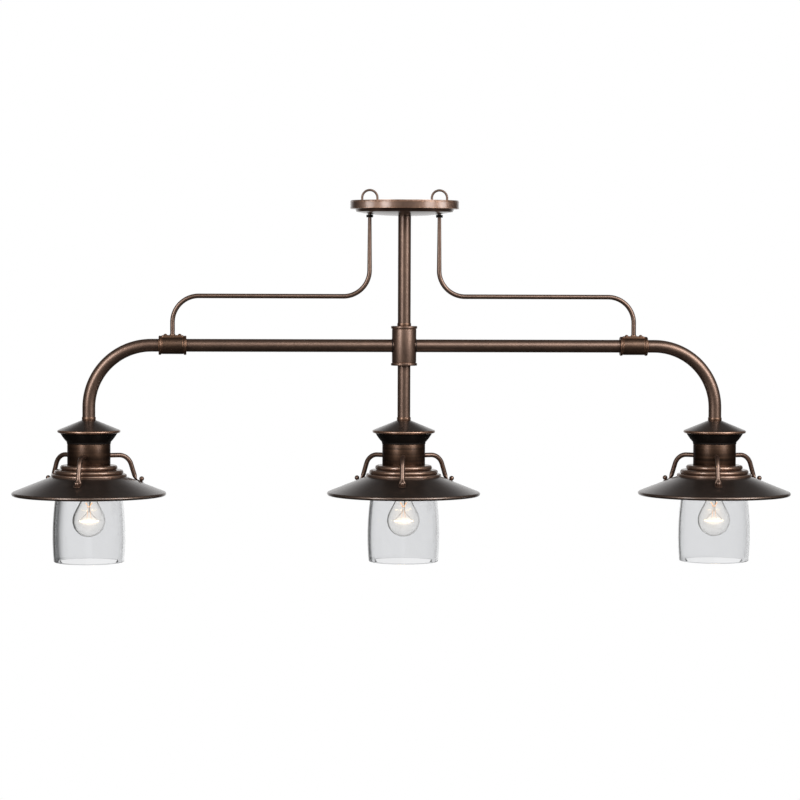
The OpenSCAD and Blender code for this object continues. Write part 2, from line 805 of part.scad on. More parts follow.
module flared_ring(i) {
    foot_r = neck_d / 2 + flare_proud;
    lip_z = neck_top_z + flare_lip_h;
    edge_z = -cap_h - cap_bead_d / 2;
    edge_r = flare_d / 2;
    tuck_r = edge_r - flare_tuck;
    color(near_black)
        at_lamp(i)
            rotate_extrude()
                polygon([[nipple_hole_r, neck_top_z], [foot_r, neck_top_z], [foot_r, lip_z],
                    [edge_r, edge_z + sheet_t / 3], [tuck_r, flare_top_z],
                    [tuck_r - sheet_t, flare_top_z], [edge_r - sheet_t, edge_z],
                    [foot_r - sheet_t, lip_z - sheet_t / 3], [foot_r - sheet_t, neck_top_z + plate_t],
                    [nipple_hole_r, neck_top_z + plate_t]]);
}

module neck(i) {
    r = neck_d / 2;
    color(bronze)
        at_lamp(i)
            difference() {
                translate([0, 0, neck_foot_z])
                    difference() {
                        cylinder(r = r, h = neck_h);
                        translate([0, 0, sheet_t]) cylinder(r = r - sheet_t, h = neck_h - sheet_t - plate_t);
                        translate([0, 0, -over]) cylinder(r = r - foot_w, h = sheet_t + 2 * over);
                        cylinder(r = nipple_hole_r, h = neck_h + over);
                    }
                at_hooks(i)
                    translate([0, 0, -hook_z]) rotate([0, 90, 0])
                        cylinder(r = hook_d / 2 + fit, h = r + over);
            }
}

// Side view of the shade's stepped rings, from the top down, drawn in by a gap
function steps_outline(gap) = [for (k = [0:2])
    each concat(
        arc(ring_centres[k], ring_radii[k] - gap, 90, k == 2 ? -30 : -90, 8),
        gap == 0 || k == 2 ? [] : [[ring_centres[k].x - gap, ring_centres[k].y - ring_radii[k] + gap],
            [ring_centres[k].x - gap, ring_centres[k + 1].y + ring_radii[k + 1] - gap]])];

// The shade: an inward seat under the neck, three stepped rings, a cone and a rolled rim
module shade(i) {
    seat_r = neck_d / 2 - foot_w;
    bead_r = rim_bead_d / 2;
    slant = sheet_t / cos(shade_slope);
    bead_start_r = rim_r - bead_r * 0.8;
    outside = concat([[seat_r, neck_foot_z]], steps_outline(0), [[cone_top_r, cone_top_z]],
        arc([rim_r, rim_z], bead_r, 90 - shade_slope, -90, 10));
    inside = concat([[seat_r, neck_foot_z - sheet_t]], steps_outline(sheet_t),
        [[cone_top_r - sheet_t / 2, cone_top_z - slant + sheet_t / 5],
            [bead_start_r, cone_z(bead_start_r) - slant]],
        arc([rim_r, rim_z], bead_r, 150, 270, 8));
    color(dark_bronze)
        at_lamp(i)
            difference() {
                rotate_extrude()
                    polygon(concat(outside, [for (k = [len(inside) - 2:-1:0]) inside[k]]));
                at_hooks(i) on_cone(hook_screw_r) hook_screw_hole();
            }
}

// The clearance hole of a hook's screw
module hook_screw_hole() {
    cylinder(r = hook_screw_d / 2 + fit, h = 10, center = true);
}

// Three hooks that brace the shade from the neck
module hooks(i) {
    leg_end = [hook_foot_r - 0.4, cone_z(hook_foot_r) + hook_foot_t / 2];
    corner = [hook_bend_x + hook_bend_r * tan(hook_lean / 2), -hook_z];
    color(bronze)
        at_lamp(i)
            at_hooks(i)
                difference() {
                    union() {
                        bent_rod([[neck_d / 2 - sheet_t, -hook_z], corner, leg_end], [hook_bend_r], hook_d);
                        on_cone(foot_start) hook_foot();
                    }
                    below_foot();
                    on_cone(hook_screw_r) hook_screw_hole();
                }
}

// Children on the shade's cone at a distance from the lamp's axis, with +X down the slope
module on_cone(r) {
    translate([r, 0, cone_z(r)]) rotate([0, shade_slope, 0]) children();
}

// A foot plate that lies on the cone, with a round outer end
module hook_foot() {
    l = (foot_end - foot_start) / cos(shade_slope);
    round_r = hook_foot_w / 2;
    translate([0, -hook_foot_w / 2, fit]) cube([l - round_r, hook_foot_w, hook_foot_t]);
    translate([l - round_r, 0, fit]) cylinder(r = round_r, h = hook_foot_t);
}

// Everything under the foot, so that a hook's leg ends flush with it
module below_foot() {
    block = [60, 20, 20];
    on_cone(hook_foot_r) translate([-block.x / 2, -block.y / 2, fit - block.z]) cube(block);
}

// Ball-headed screws that hold the hooks' feet to the shade, with their nuts
module hook_screws() {
    nut_h = 2.4;
    nut_af = 7;
    end_l = 0.6;
    sink = 0.4;
    seat = hook_foot_t + fit;
    ball_z = seat + hook_ball_d / 2 - sink;
    under = -sheet_t - 0.35;
    tip = under - nut_h - end_l;
    block = 20;
    color(copper_edge)
        for (i = [0:2])
            at_lamp(i)
                at_hooks(i)
                    on_cone(hook_screw_r) {
                        union() {
                            intersection() {
                                translate([0, 0, ball_z]) sphere(d = hook_ball_d);
                                translate([-block / 2, -block / 2, seat]) cube(block);
                            }
                            translate([0, 0, tip]) cylinder(d = hook_screw_d, h = ball_z - tip);
                        }
                        translate([0, 0, under - nut_h]) hex_nut(nut_af, nut_h, hook_screw_d / 2 + fit);
                    }
}

// Sockets

module socket_bodies() {
    color(black_plastic)
        for (i = [0:2])
            at_lamp(i)
                difference() {
                    union() {
                        translate([0, 0, skirt_foot_z])
                            cylinder(d = skirt_d, h = bearing_z - skirt_foot_z + over);
                        translate([0, 0, bearing_z]) cylinder(d = shoulder_d, h = bearing_h);
                        translate([0, 0, bearing_z]) cylinder(d = socket_d, h = -socket_top - bearing_z);
                    }
                    translate([0, 0, skirt_foot_z - over])
                        cylinder(d = socket_bore, h = disc_foot_z - skirt_foot_z + over);
                    translate([0, 0, disc_top_z]) cylinder(d = socket_bore, h = nipple_foot_z - disc_top_z);
                    translate([0, 0, nipple_foot_z - over])
                        cylinder(r = nipple_hole_r, h = socket_head_h + 2 * over);
                    for (x = [shell_rivet_x, centre_rivet_x], y = [rivet_y(i, x)])
                        translate([x, y, disc_foot_z - over])
                            cylinder(r = rivet_r + fit, h = disc_t + 2 * over);
                }
}

// How far in front of or behind the arms' axis a lamp's lead and its rivet lie
function rivet_y(i, x) = (i == 1 ? wire_pitch : lead_y) * sign(x);

// The brass screw shell and the centre tab of each socket, each with its rivet
module socket_contacts() {
    shell_r = shell_bore / 2 + shell_wall;
    flange_t = 0.9;
    flange_z = disc_foot_z - flange_t;
    flange_bore = 9.4;
    rivet_end = 0.5;
    color(brass)
        for (i = [0:2])
            at_lamp(i) {
                union() {
                    translate([0, 0, skirt_foot_z + over])
                        ring(shell_r, shell_bore / 2, flange_z - skirt_foot_z - over / 2);
                    translate([0, 0, flange_z]) ring(shell_r, flange_bore, flange_t);
                    translate([shell_rivet_x, rivet_y(i, 1), flange_z])
                        cylinder(r = rivet_r, h = disc_t + flange_t + rivet_end);
                }
                union() {
                    translate([centre_rivet_x, rivet_y(i, -1), disc_foot_z - flange_t / 2])
                        cylinder(r = rivet_r, h = disc_t + flange_t / 2 + rivet_end);
                    translate([0, rivet_y(i, -1), 0]) centre_tab();
                }
            }
}

// The sprung tab that the bulb's contact meets
module centre_tab() {
    w = 4;
    t = 0.7;
    root = [centre_rivet_x, disc_foot_z];
    tip_z = -bulb_top + running;
    tip = [1.4, 3.4];
    translate([0, w / 2, 0]) rotate([90, 0, 0])
        linear_extrude(w)
            polygon([root + [-1.6, 0], root + [2, 0], [tip[0] + 0.2, tip_z + t], [tip[1], tip_z + t],
                [tip[1], tip_z], [tip[0] - 0.2, tip_z], root + [1.6, -t], root + [-1.6, -t]]);
}

// Bulbs

module bulb_contact(i) {
    contact_r = 4.6;
    crown_r = 7;
    color(steel)
        at_lamp(i) translate([0, 0, -bulb_top - contact_h])
            intersection() {
                cylinder(r = contact_r, h = contact_h);
                translate([0, 0, contact_h - crown_r]) sphere(r = crown_r);
            }
}

// Side view of the bulb's screw shell, with rounded threads
module base_outline() {
    bead_x = base_d / 2 - thread_bead_r;
    first_z = shell_top_z - 2;
    translate([0, base_foot_z]) square([base_root_r, shell_top_z - base_foot_z]);
    for (k = [0:thread_turns - 1])
        translate([bead_x, first_z - k * thread_pitch]) circle(r = thread_bead_r);
}

// The screw shell with the glass insulator on top of it, hollow below
module bulb_base(i) {
    seat_r = base_d / 2 - 2;
    seat_z = shell_top_z - 0.5;
    crown = [6, shell_top_z + insulator_h - fit];
    roof_t = 1.5;
    color(steel)
        at_lamp(i)
            rotate_extrude()
                difference() {
                    union() {
                        base_outline();
                        polygon([[0, seat_z], [seat_r, seat_z], [seat_r, shell_top_z], crown, [0, crown.y]]);
                    }
                    translate([-over, base_foot_z - over])
                        square([base_root_r - base_wall + over, shell_top_z - base_foot_z - roof_t + over]);
                }
}

// Side view of the bulb's glass, drawn in by a gap
module bulb_outline(gap) {
    r = bulb_d / 2 - gap;
    neck_r = bulb_neck_r - gap;
    flare_r = neck_r + 0.9;
    flare_z = base_foot_z - 1.5;
    turn = 18;
    pull = [17, 15];
    belly = [0, bulb_centre_z] + r * [cos(turn), sin(turn)];
    below = arc([0, bulb_centre_z], r, turn, -90, 14);
    polygon(concat(
        [[0, base_foot_z + seal_h], [neck_r, base_foot_z + seal_h], [neck_r, base_foot_z]],
        curve([flare_r, flare_z], [flare_r, flare_z - pull[0]],
            belly + pull[1] * [-sin(turn), cos(turn)], belly, 12),
        [for (k = [1:14]) below[k]]));
}

module bulb_glass(i) {
    open_h = 0.5;
    color(clear_glass)
        at_lamp(i)
            rotate_extrude()
                difference() {
                    bulb_outline(0);
                    bulb_outline(bulb_wall);
                    translate([0, base_foot_z + seal_h - open_h]) square([base_d, 2 * open_h]);
                    translate([-bulb_d, -bulb_top - bulb_l]) square([bulb_d, bulb_l]);
                }
}

// The glass stem inside the bulb, with its lead wires, support wires and filament
module filament(i) {
    flare_r = [4, bulb_neck_r - bulb_wall - fit];
    flare_z = base_foot_z + 3;
    flare_h = 4;
    stem_r = 3.4;
    stem_foot = bulb_centre_z + 20;
    coil_z = bulb_centre_z - 3;
    coil_r = 0.8;
    lead_r = 0.5;
    support_r = 0.3;
    color(warm_glow)
        at_lamp(i)
            union() {
                translate([0, 0, flare_z]) cylinder(r1 = flare_r[0], r2 = flare_r[1], h = flare_h);
                translate([0, 0, stem_foot]) cylinder(r = stem_r, h = flare_z + over - stem_foot);
                for (side = [-1, 1]) {
                    rod_between([side * 2, 0, stem_foot + 2], [side * filament_w / 2, 0, coil_z], lead_r);
                    rod_between([side * 0.6, 0, stem_foot + over],
                        [side * filament_w / 6, 0, coil_z + coil_r / 2], support_r);
                }
                translate([-filament_w / 2, 0, coil_z]) rotate([0, 90, 0])
                    cylinder(r = coil_r, h = filament_w);
            }
}

// A thin round wire between two points that share a y
module rod_between(a, b, r) {
    d = b - a;
    translate(a) rotate([0, atan2(d.x, d.z), 0]) cylinder(r = r, h = norm(d));
}

// Glass and retaining ring

// Radius of the glass, outside, at a depth
function glass_r(z) = glass_d / 2 - pow(z - glass_mouth_z - glass_belly, 2) / (2 * glass_bulge_r);

// Side view of the glass's side from its shoulder to its rounded lip, drawn in by a gap
function glass_side(gap) =
    let (turn_z = -glass_top - glass_shoulder_r, lip_z = glass_mouth_z + glass_wall / 2, steps = 12,
        edge_r = glass_r(turn_z) - glass_shoulder_r)
        concat(arc([edge_r, turn_z], glass_shoulder_r - gap, 90, 0, 6),
            [for (k = [1:steps]) let (z = turn_z + (lip_z - turn_z) * k / steps) [glass_r(z) - gap, z]]);

module glass(i) {
    lip_r = glass_wall / 2;
    lip = [glass_r(glass_mouth_z + lip_r) - lip_r, glass_mouth_z + lip_r];
    inside = glass_side(glass_wall);
    lip_arc = arc(lip, lip_r, 0, -180, 8);
    color(clear_glass)
        at_lamp(i)
            rotate_extrude()
                polygon(concat([[glass_hole_d / 2, -glass_top]], glass_side(0), [for (k = [1:7]) lip_arc[k]],
                    [for (k = [len(inside) - 1:-1:0]) inside[k]],
                    [[glass_hole_d / 2, -glass_top - glass_wall]]));
}

module retaining_ring(i) {
    bore = skirt_d / 2 + running;
    color(black_plastic)
        at_lamp(i)
            translate([0, 0, ring_top_z - ring_h])
                union() {
                    ring(bore + ring_wall, bore, ring_h);
                    translate([0, 0, ring_h - ring_flange_t]) ring(ring_flange_d / 2, bore, ring_flange_t);
                }
}

// Wiring

// One lead in the plane of a given y, from its connector down to a rivet on a socket
module lead(lamp, end_side, from_x, y, top_z, rivet_x) {
    down = lamp_x[lamp];
    chamber = nipple_foot_z + lamp_z - 6;
    rivet_top = lamp_z + disc_top_z + 0.8;
    socket_bend_r = 2;
    hub_bend_r = 12;
    head = [[end_side * lead_end_x, top_z], [from_x, top_z]];
    foot = [[down, chamber], [down + rivet_x, chamber], [down + rivet_x, rivet_top]];
    along = lamp == 1 ? [] : [[from_x, bar_z], [down, bar_z]];
    radii = lamp == 1 ? [lead_bend_r, socket_bend_r, socket_bend_r] :
        [lead_bend_r, hub_bend_r, elbow_r, socket_bend_r, socket_bend_r];
    translate([0, y, 0]) bent_rod(concat(head, along, foot), radii, wire_d);
}

module lead_wires() {
    color(black_plastic) {
        lead(0, -1, -lead_x, -lead_y, lead_low_z, centre_rivet_x);
        lead(2, -1, lead_x, -lead_y, lead_high_z, centre_rivet_x);
        lead(1, -1, 0, -wire_pitch, lead_mid_z, centre_rivet_x);
        lead(2, 1, lead_x, lead_y, lead_low_z, shell_rivet_x);
        lead(0, 1, -lead_x, lead_y, lead_high_z, shell_rivet_x);
        lead(1, 1, 0, wire_pitch, lead_mid_z, shell_rivet_x);
    }
}

// Twist-on connectors inside the canopy, one for each side of the supply
module wire_connectors() {
    mouth = connector_d / 2;
    wall = 1.4;
    color(orange_plastic)
        for (side = [-1, 1])
            translate([side * connector_x, side * connector_y, lead_mid_z]) rotate([0, side * 90, 0])
                difference() {
                    cylinder(r1 = mouth, r2 = mouth * 0.55, h = connector_l);
                    translate([0, 0, -over]) cylinder(r = mouth - wall, h = lead_grip + fit + over);
                }
}

mounting_strap();
support_bar();
hickey();
canopy();
nipples();
lock_nuts();
hanging_loops();
loop_nuts();
tie_rod(-1);  // tie_rod_left
tie_rod(1);  // tie_rod_right
tie_rod_nuts();
stem_upper();
stem_lower();
hub();
arm(-1);  // arm_left
arm(1);  // arm_right
elbow(-1);  // elbow_left
elbow(1);  // elbow_right
sleeve(-1);  // sleeve_left
sleeve(1);  // sleeve_right
sleeve_screws();
tube_collars();
socket_bodies();
socket_contacts();
hook_screws();
lead_wires();
wire_connectors();
for (i = [0:2]) {
    cap(i);
    flared_ring(i);
    neck(i);
    shade(i);
    hooks(i);
    glass(i);
    retaining_ring(i);
    bulb_glass(i);
    bulb_base(i);
    bulb_contact(i);
    filament(i);
}
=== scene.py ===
"""Dresses the billiard light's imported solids: finer surfaces, finishes, camera, lights and floor.

Sizes are written in millimetres, in the part's own frame, and become metres where a mesh is made.
"""

import logging
import math
from dataclasses import dataclass, field
from enum import Enum
from typing import Sequence

import bmesh
import bpy
import numpy as np
from mathutils import Matrix, Vector


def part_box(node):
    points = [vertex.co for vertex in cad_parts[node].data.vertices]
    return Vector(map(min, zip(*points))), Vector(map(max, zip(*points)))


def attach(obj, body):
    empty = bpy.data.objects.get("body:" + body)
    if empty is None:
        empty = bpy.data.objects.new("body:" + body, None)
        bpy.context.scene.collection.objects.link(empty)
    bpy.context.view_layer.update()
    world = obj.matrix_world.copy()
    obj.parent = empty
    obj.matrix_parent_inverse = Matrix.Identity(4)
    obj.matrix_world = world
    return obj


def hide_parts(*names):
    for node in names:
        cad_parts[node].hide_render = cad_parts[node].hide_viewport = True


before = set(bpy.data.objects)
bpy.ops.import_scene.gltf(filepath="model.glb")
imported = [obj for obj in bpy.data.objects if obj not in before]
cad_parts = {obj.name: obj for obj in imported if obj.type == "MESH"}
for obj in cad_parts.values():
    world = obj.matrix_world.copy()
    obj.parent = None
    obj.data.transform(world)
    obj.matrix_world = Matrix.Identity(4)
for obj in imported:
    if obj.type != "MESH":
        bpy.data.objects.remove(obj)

LOG = logging.getLogger("billiard_light")
MM = 0.001
FIXTURE = "fixture"
PLAY = 0.05  # between a tube and the hole that it stands in, in millimetres
WEAR_FROM = 0.08  # the outward curvature at which rubbing starts, in turn per millimetre
WEAR_OVER = 0.4  # how much more curvature makes it full
Colour = tuple[float, float, float]
Numbers = Sequence[float]
Socket = bpy.types.NodeSocket


class Side(Enum):
    """The three lamps, from left to right."""

    LEFT = "left"
    MIDDLE = "middle"
    RIGHT = "right"


class Axis(Enum):
    """The axis that a turned piece is turned about."""

    X = "x"
    Z = "z"


def srgb(code: str) -> Colour:
    """Turn a colour written as six hexadecimal digits into linear red, green and blue.

    Args:
        code: The digits, such as "7a5a48".

    Returns:
        The three linear values. A channel c becomes ((c + 0.055) / 1.055) ** 2.4 above the toe.
    """
    channels = [int(code[i:i + 2], 16) / 255 for i in (0, 2, 4)]
    return tuple(c / 12.92 if c <= 0.04045 else ((c + 0.055) / 1.055) ** 2.4 for c in channels)


def centre_of(node: str) -> np.ndarray:
    """Return the middle of a CAD node's box, in millimetres."""
    low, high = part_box(node)
    return (np.array(low) + np.array(high)) / 2 / MM


def top_of(node: str) -> float:
    """Return a CAD node's highest level, in millimetres."""
    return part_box(node)[1].z / MM


def show(thing: bpy.types.Object) -> None:
    """Put an object into the scene."""
    bpy.context.scene.collection.objects.link(thing)


# Outlines and surfaces


def arc(centre: Numbers, radius: float, start: float, end: float, steps: int) -> np.ndarray:
    """Points of an arc: centre + radius * (cos a, sin a), with a going evenly from start to end.

    Args:
        centre: The arc's centre in the plane.
        radius: Its radius.
        start: The first angle, in degrees.
        end: The last angle, in degrees.
        steps: How many steps lie between them.

    Returns:
        An array of steps + 1 points.
    """
    a = np.radians(np.linspace(start, end, steps + 1))
    return np.array(centre, float) + radius * np.stack([np.cos(a), np.sin(a)], axis=-1)


def filleted(points: Sequence[Numbers], radius: float, steps: int = 4) -> np.ndarray:
    """Round every corner of a closed outline.

    Each corner is cut back by radius / tan(half its angle) along both its sides, and an arc about the
    point on its bisector that lies radius from both sides takes its place.

    Args:
        points: The outline's corners, in order.
        radius: The largest radius of a fillet. A short side makes it smaller.
        steps: How many points each fillet has.

    Returns:
        The rounded outline.
    """
    corner = np.array(points, float)
    back = np.roll(corner, 1, axis=0) - corner
    ahead = np.roll(corner, -1, axis=0) - corner
    back_l = np.linalg.norm(back, axis=1, keepdims=True)
    ahead_l = np.linalg.norm(ahead, axis=1, keepdims=True)
    back, ahead = back / back_l, ahead / ahead_l
    cos = np.clip(np.sum(back * ahead, axis=1, keepdims=True), -1, 1)
    half = np.clip(np.arccos(cos) / 2, 0.02, math.pi / 2 - 0.005)
    cut = np.minimum(radius / np.tan(half), 0.45 * np.minimum(back_l, ahead_l))
    r = cut * np.tan(half)
    bisector = back + ahead
    bisector /= np.maximum(np.linalg.norm(bisector, axis=1, keepdims=True), 1e-9)
    centre = corner + bisector * r / np.sin(half)
    first, last = corner + back * cut - centre, corner + ahead * cut - centre
    start = np.arctan2(first[:, 1], first[:, 0])[:, None]
    turn = np.arctan2(last[:, 1], last[:, 0])[:, None] - start
    turn = (turn + math.pi) % (2 * math.pi) - math.pi
    angle = start + turn * np.linspace(0, 1, steps)
    ring = np.stack([np.cos(angle), np.sin(angle)], axis=-1)
    return (centre[:, None, :] + r[:, :, None] * ring).reshape(-1, 2)


def eased(t: np.ndarray) -> np.ndarray:
    """Keep values from 0 to 1 and ease both ends: 3 t^2 - 2 t^3."""
    t = np.clip(t, 0, 1)
    return t * t * (3 - 2 * t)


def rubbed(outline: np.ndarray) -> np.ndarray:
    """How much each point of a closed outline is rubbed by hands and cloths, from 0 to 1.

    It grows with the outline's outward curvature, which is its turn divided by its mean side.

    Args:
        outline: A closed outline that runs anticlockwise.

    Returns:
        One value a point.
    """
    ahead = np.roll(outline, -1, axis=0) - outline
    back = outline - np.roll(outline, 1, axis=0)
    cross = back[:, 0] * ahead[:, 1] - back[:, 1] * ahead[:, 0]
    turn = np.arctan2(cross, np.sum(back * ahead, axis=1))
    side = (np.linalg.norm(ahead, axis=1) + np.linalg.norm(back, axis=1)) / 2
    return eased((turn / np.maximum(side, 1e-6) - WEAR_FROM) / WEAR_OVER)


@dataclass
class Surface:
    """A grid of points with a value each for rubbed wear and painted highlight, which may close on itself either way.
    """

    points: np.ndarray
    wear_and_sheen: np.ndarray
    closed: tuple[bool, bool] = (True, True)

    def faces(self, first: int) -> np.ndarray:
        """Corner numbers of the grid's four-sided faces.

        Args:
            first: The number of the grid's first point in the mesh.

        Returns:
            One row of four numbers a face.
        """
        rows, columns = self.points.shape[:2]
        i = np.arange(rows if self.closed[0] else rows - 1)[:, None]
        j = np.arange(columns if self.closed[1] else columns - 1)[None, :]
        i2, j2 = (i + 1) % rows, (j + 1) % columns
        corners = [i * columns + j, i * columns + j2, i2 * columns + j2, i2 * columns + j]
        return first + np.stack([c.ravel() for c in corners], axis=-1)


def turned(outline: np.ndarray, place: Numbers = (0, 0, 0), axis: Axis = Axis.Z,
           segments: int = 96) -> Surface:
    """Turn a closed outline about an axis through a place.

    A point (r, h) of the outline becomes (r cos a, r sin a, h) about Z, or (h, r cos a, r sin a) about X.

    Args:
        outline: Pairs of distance from the axis and height along it, in millimetres.
        place: The point that stands for height 0 on the axis.
        axis: The axis.
        segments: How many steps make a turn.

    Returns:
        The surface, with its faces outwards.
    """
    flat = np.array(outline, float)
    ahead = np.roll(flat, -1, axis=0)
    if np.sum(flat[:, 0] * ahead[:, 1] - ahead[:, 0] * flat[:, 1]) < 0:
        flat = flat[::-1]
    a = np.linspace(0, 2 * math.pi, segments, endpoint=False)
    r, h = flat[:, 0:1], flat[:, 1:2]
    around = (r * np.cos(a), r * np.sin(a), h + 0 * a)
    order = around if axis is Axis.Z else (around[2], around[0], around[1])
    points = np.stack(order, axis=-1)[:, ::-1] + np.array(place, float)
    wear_and_sheen = np.repeat(rubbed(flat)[:, None], segments, axis=1)
    return Surface(points, wear_and_sheen)


def swept(path: np.ndarray, half_width: float | np.ndarray, half_height: float | np.ndarray,
          sides: int = 32) -> Surface:
    """Carry an ellipse along a path in a plane that faces the front, and close both its ends.

    A ring's points are path + y * width * cos a + up * height * sin a, with up square to y and the path.

    Args:
        path: Points along the middle, in millimetres.
        half_width: Half the ellipse's size from front to back, one for all points or one a point.
        half_height: Half its size in the path's plane, likewise.
        sides: How many points each ring has.

    Returns:
        The surface, closed by a point at each end.
    """
    path = np.array(path, float)
    along = np.gradient(path, axis=0)
    along /= np.linalg.norm(along, axis=1, keepdims=True)
    side = np.array([0.0, 1.0, 0.0])
    up = np.cross(along, side)
    a = np.linspace(0, 2 * math.pi, sides, endpoint=False)[None, :, None]
    w, h = (np.broadcast_to(half, len(path))[:, None, None] for half in (half_width, half_height))
    rings = path[:, None, :] + side * w * np.cos(a) + up[:, None, :] * h * np.sin(a)
    ends = [np.repeat(path[k][None, None, :], sides, axis=1) for k in (0, -1)]
    points = np.concatenate([ends[0], rings, ends[1]])
    return Surface(points, np.zeros(points.shape[:2]), (False, True))


def tube(path: np.ndarray, radius: float, bore: float, sides: int = 64) -> Surface:
    """Carry a ring's outline along a plane path: outside forwards, then the bore backwards.

    Args:
        path: Points along the tube's axis, in millimetres.
        radius: The outer radius.
        bore: The inner radius.
        sides: How many points lie round the tube.

    Returns:
        The tube's closed surface.
    """
    outside, inside = (swept(path, r, r, sides).points[1:-1] for r in (radius, bore))
    points = np.concatenate([outside, inside[::-1]])
    return Surface(points, np.zeros(points.shape[:2]))


def route(corners: Sequence[Numbers], radii: Numbers, step: float = 4.0) -> np.ndarray:
    """Points of a path with straights and round bends in the XZ plane.

    Each corner is cut back by radius * tan(half its turn), and its arc has a point for each few degrees.

    Args:
        corners: The path's corners as pairs of x and z.
        radii: One bend radius for each corner between the ends.
        step: The turn between two points of a bend, in degrees.

    Returns:
        Points as x, 0, z.
    """
    p = np.array(corners, float)
    runs = [p[:1]]
    for before, corner, after, r in zip(p[:-2], p[1:-1], p[2:], radii):
        a = (corner - before) / np.linalg.norm(corner - before)
        b = (after - corner) / np.linalg.norm(after - corner)
        turn = math.atan2(a[0] * b[1] - a[1] * b[0], a @ b)
        start = corner - a * r * math.tan(abs(turn) / 2)
        normal = math.copysign(1, turn) * np.array([-a[1], a[0]])
        centre = start + normal * r
        first = math.degrees(math.atan2(*(start - centre)[::-1]))
        count = max(4, int(abs(math.degrees(turn)) / step))
        runs.append(arc(centre, r, first, first + math.degrees(turn), count))
    runs.append(p[-1:])
    flat = np.concatenate(runs)
    return np.stack([flat[:, 0], np.zeros(len(flat)), flat[:, 1]], axis=-1)


def rounded_block(half: Numbers, place: Numbers, squareness: float = 5.0) -> Surface:
    """A block with soft edges: |x/a|^n + |y/b|^n + |z/c|^n = 1, as a superellipsoid.

    Args:
        half: Its half sizes a, b and c, in millimetres.
        place: Its centre.
        squareness: The power n. A high one makes the edges sharper.

    Returns:
        The closed surface.
    """
    power = 2 / squareness

    def soft(value: np.ndarray) -> np.ndarray:
        """Raise a sine or a cosine to the power, and keep its sign."""
        return np.sign(value) * np.abs(value) ** power

    v = np.linspace(-math.pi / 2, math.pi / 2, 33)[:, None]
    u = np.linspace(0, 2 * math.pi, 64, endpoint=False)[None, :]
    parts = (soft(np.cos(v)) * soft(np.cos(u)), soft(np.cos(v)) * soft(np.sin(u)), soft(np.sin(v)) + 0 * u)
    points = np.stack(parts, axis=-1) * np.array(half, float) + np.array(place, float)
    wear_and_sheen = np.clip(1 - np.abs(parts[2]) ** 8, 0, 1) * 0.3
    return Surface(points, wear_and_sheen, (False, True))


def spun(surface: Surface, degrees: float, place: Numbers = (0, 0, 0)) -> Surface:
    """Turn a surface about Z through the origin and then move it to a place.

    Args:
        surface: The surface, in millimetres.
        degrees: The turn, anticlockwise from above.
        place: Where the origin goes.

    Returns:
        The surface in its new place.
    """
    a = math.radians(degrees)
    turn = np.array([[math.cos(a), math.sin(a), 0], [-math.sin(a), math.cos(a), 0], [0, 0, 1]])
    return Surface(surface.points @ turn + np.array(place, float), surface.wear_and_sheen, surface.closed)


# Finishes


